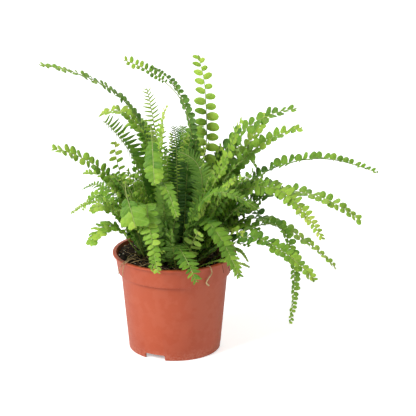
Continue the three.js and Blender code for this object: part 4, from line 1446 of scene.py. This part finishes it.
def frond_points(line, kind, longest, start, fold, roll, tones, draw, name="", spacing=1.0):
    """The blades of one frond: place, turn, size, blank number, age (with painted shade and painted
    light on a few fronds) and shade of each.
    """
    habit = HABITS[kind]
    lean = math.radians(LEANS.get(name, habit["lean"]))
    louvre = math.radians(habit["louvre"])
    tip_size = TIP_SIZES.get(name, USUAL_TIP_SIZE)
    pitch = PITCHES.get(name, habit["pitch"]) * spacing * longest / line.length
    rise = math.radians(min(fold, STEEPEST_FOLD))
    stops, share = [], start
    while share < 1 - 0.25 * pitch:
        s = (share - start) / (1 - start)
        stops.append((share, s))
        share += pitch * (SMALL_PITCH + PITCH_GROWTH * blade_share_size(s, tip_size))
    blades = []
    for share, s in stops:
        for hand in (1, -1):
            place_share = min(1, share + (LEFT_STEP * pitch if hand < 0 else 0))
            point, along, side, up = line.stance(place_share, roll)
            lift = rise + math.radians(draw.uniform(-FOLD_SPREAD, FOLD_SPREAD))
            open_by = lean * (1 - CLOSES_BY * max(0, s - CLOSES_FROM) / (1 - CLOSES_FROM))
            out = (side * hand * math.cos(lift) + up * math.sin(lift)) * math.sin(open_by)
            out = (out + along * math.cos(open_by)).normalized()
            wide = (along - out * along.dot(out)).normalized()
            wide = Quaternion(out, louvre * hand) @ wide * hand
            size = longest * blade_share_size(s, tip_size)
            if hand < 0:
                size *= SHORT_SIDES.get(name, 1.0)
            ahead = max(0.2, abs(math.cos(open_by)))
            size = min(size, PAST_TIP + (1 - place_share) * line.length / ahead)
            if hits_pot(point + out * size) or hits_pot(point + out * size * 0.5):
                continue
            thick = STEM_THICK + (STEM_THIN - STEM_THICK) * place_share
            variant = draw.randrange(VARIANTS)
            blades.append({
                "point": point + side * hand * thick * 0.5, "turn": blade_turn(out, wide),
                "size": size, "which": 2 * variant + (0 if hand > 0 else 1),
                "age": tones[0] + (tones[1] - tones[0]) * s,
                "shade": draw.uniform(-SHADE_SPREAD, SHADE_SPREAD),
            })
    _, along, side, _ = line.stance(END_PLACE, roll)
    last = blades[-1]["size"] * END_SIZE
    blades.append({
        "point": line.at(1 - last / line.length)[0], "turn": blade_turn(along, side),
        "size": last, "which": 0, "age": tones[1], "shade": END_SHADE,
    })
    return blades


# %% Lay the stem and the blades, and run the tree
STEM_STEPS = 44
STEM_DEPTH = 4
FROND_WAVE = 2.4
# the CAD model leaves too much of a stem bare: here blades begin at this part of that stretch
BARE_PART = 0.35
INSIDE_BOX = 1e-5


def frond_mesh(name, line, blades):
    """The stem's line and the blades' points in one mesh, with what the tree reads."""
    shares = [n / STEM_STEPS for n in range(STEM_STEPS + 1)]
    points = [line.at(s)[0] for s in shares]
    points.insert(0, points[0] - line.at(0)[1] * STEM_DEPTH)
    shares.insert(0, 0.0)
    places = [placed(*p) for p in points] + [placed(*b["point"]) for b in blades]
    mesh = bpy.data.meshes.new(name)
    mesh.from_pydata(places, [(n, n + 1) for n in range(len(points) - 1)], [])
    on_stem, on_blades = len(points), len(blades)
    thickness = [(STEM_THICK + (STEM_THIN - STEM_THICK) * s) * MM for s in shares]
    turns = [1.0, 0.0, 0.0, 0.0] * on_stem
    for blade in blades:
        turns += list(blade["turn"])
    keep_values(mesh, "on_stem", "BOOLEAN", [True] * on_stem + [False] * on_blades)
    keep_values(mesh, "turn", "QUATERNION", turns)
    keep_values(mesh, "size", "FLOAT", [0.0] * on_stem + [b["size"] * MM for b in blades])
    keep_values(mesh, "age", "FLOAT", [0.0] * on_stem + [b["age"] for b in blades])
    keep_values(mesh, "shade", "FLOAT", [0.0] * on_stem + [b["shade"] for b in blades])
    keep_values(mesh, "which", "INT", [0] * on_stem + [b["which"] for b in blades])
    keep_values(mesh, "thickness", "FLOAT", thickness + [0.0] * on_blades)
    keep_values(mesh, "run", "FLOAT", shares + [1.0] * on_blades)
    return mesh


def joined_meshes(name, meshes):
    """Several stem-and-blade meshes made one, with all their attributes."""
    holders = [add_object("holder", mesh) for mesh in meshes]
    with bpy.context.temp_override(active_object=holders[0], selected_editable_objects=holders):
        bpy.ops.object.join()
    mesh = holders[0].data
    bpy.data.objects.remove(holders[0])
    mesh.name = name
    return mesh


def keep_in_box(thing):
    """Pulls a corner that would stick out of the CAD model's box back to its face."""
    for corner in thing.data.vertices:
        for n in range(3):
            least, most = cad_low[n] + INSIDE_BOX, cad_high[n] - INSIDE_BOX
            corner.co[n] = min(max(corner.co[n], least), most)


def grown(name, kind, mesh, seed, tilt):
    """Runs the frond tree on a mesh of stems and blade points with one habit's blanks."""
    made = add_object(name, mesh)
    run_tree(made, frond_tree, {
        "Blade Blanks": leaf_blanks[kind], "Hair Blank": hair, "Seed": seed, "Tilt": tilt,
        "Leaf Material": leaf_skin, "Stem Material": stem_skin, "Hair Material": hair_skin,
    })
    keep_in_box(made)
    return made


total_blades = 0
total_faces = 0
for number, row in enumerate(FRONDS):
    name, kind, root, mid, tip, longest, bare, fold, roll = row
    line = StemLine(root, mid, tip, roll, TURNS.get(name, USUAL_TURN), FROND_WAVE)
    draw = random.Random(500 + number)
    tones = TONES.get(name, HABITS[kind]["tone"])
    start = LEAFY_FROM.get(name, BARE_PART * bare)
    blades = frond_points(line, kind, longest, start, fold, roll, tones, draw, name)
    mesh = frond_mesh(name, line, blades)
    frond = grown(f"fern_{name}", kind, mesh, number, HABITS[kind]["tilt"])
    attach(frond, "root")
    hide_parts(f"frond_{name}")
    total_blades += len(blades)
    total_faces += len(frond.data.polygons)
print("blades:", total_blades, "frond faces:", total_faces)

# %% [markdown]
# Between the fronds stand the youngest sprigs, too small to be parts of their own. They close
# the heart of the plant. A seeded rule scatters them round the crown in a few bunches: each
# leaves the soil near the middle, bows outwards and ends at a chance height, and one that would
# run into the pot is left out. They are sorted by habit, because a tree takes one kind of blade,
# and each habit is made in clumps, so that no single mesh gets heavy.

# %% Sprigs in the heart of the plant
BUNCHES = [
    # how many are tried, bearings in degrees, reach and rise in mm, kinds of blade
    (74, (-50, 230), (10, 58), (16, 95), ("plain", "oval", "oval", "button", "saw")),
    (12, (230, 310), (14, 50), (14, 60), ("plain", "oval", "saw")),
    (16, (20, 160), (8, 40), (85, 120), ("plain", "oval")),
    (32, (-38, 42), (34, 66), (70, 112), ("plain", "oval", "button")),
    (16, (-40, 10), (40, 62), (28, 62), ("button", "plain")),
    (8, (150, 215), (30, 52), (55, 88), ("plain", "oval", "button")),
]
CROWN_RADIUS = 30
SPRIG_LEAFY_FROM, SPRIG_FOLD = 0.1, 10
SPRIG_SPACING = 1.2
SPRIG_TILT = 0.3
SPRIG_TONE_STEP = 0.3
SHORTEST_SPRIG = 24
OPEN_SOIL = ((-36, 116), (-62, 150))
CLUMP_SIZE = 24

sprig_draw = random.Random(77)
sprigs = {kind: [] for kind in ("button", "plain", "oval", "saw")}
for count, bearings, reaches, rises, kinds in BUNCHES:
    for _ in range(count):
        drift = math.radians(sprig_draw.uniform(*bearings))
        turn = drift + sprig_draw.uniform(-0.5, 0.5)
        near = CROWN_RADIUS * math.sqrt(sprig_draw.uniform(0.03, 1))
        far = near + sprig_draw.uniform(*reaches)
        rise = sprig_draw.uniform(*rises)
        bow = sprig_draw.uniform(6, 24)
        kind = sprig_draw.choice(kinds)
        longest = sprig_draw.uniform(5.5, 9.0)
        dark = sprig_draw.uniform(-0.05, 0.56)
        roll = sprig_draw.uniform(-35, 35)
        root = around(near, turn)
        tip = (*around(far, drift), SOIL_TOP + rise)
        mid = ((root[0] + tip[0]) / 2, (root[1] + tip[1]) / 2, SOIL_TOP + rise / 2 + bow)
        line = StemLine(root, mid, tip, roll)
        # the soil stays open at the left: no sprig ends to the left of x and below z
        hides_soil = any(tip[0] < x and tip[2] < z for x, z in OPEN_SOIL)
        in_pot = any(hits_pot(line.at(s / 20)[0]) for s in range(3, 21))
        if hides_soil or in_pot or line.length < SHORTEST_SPRIG:
            continue
        draw = random.Random(sprig_draw.randrange(10 ** 6))
        blades = frond_points(
            line, kind, longest, SPRIG_LEAFY_FROM, SPRIG_FOLD, roll,
            (dark, dark + SPRIG_TONE_STEP), draw, spacing=SPRIG_SPACING,
        )
        sprigs[kind].append((line, blades))
print("sprigs:", {kind: len(made) for kind, made in sprigs.items()})

# %% Clumps of sprigs
clumps = []
for kind, made in sprigs.items():
    for first in range(0, len(made), CLUMP_SIZE):
        title = f"sprigs_{kind}_{first // CLUMP_SIZE + 1}"
        clumps.append((title, kind, made[first:first + CLUMP_SIZE]))
for number, (title, kind, clump) in enumerate(clumps):
    parts = [frond_mesh("part", line, blades) for line, blades in clump]
    carrier = grown(title, kind, joined_meshes(title, parts), 90 + number, SPRIG_TILT)
    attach(carrier, "root")
    print(carrier.name, "sprigs:", len(clump), "faces:", len(carrier.data.polygons))
for kept in leaf_blanks.values():
    drop_collection(kept)
bpy.data.objects.remove(hair)
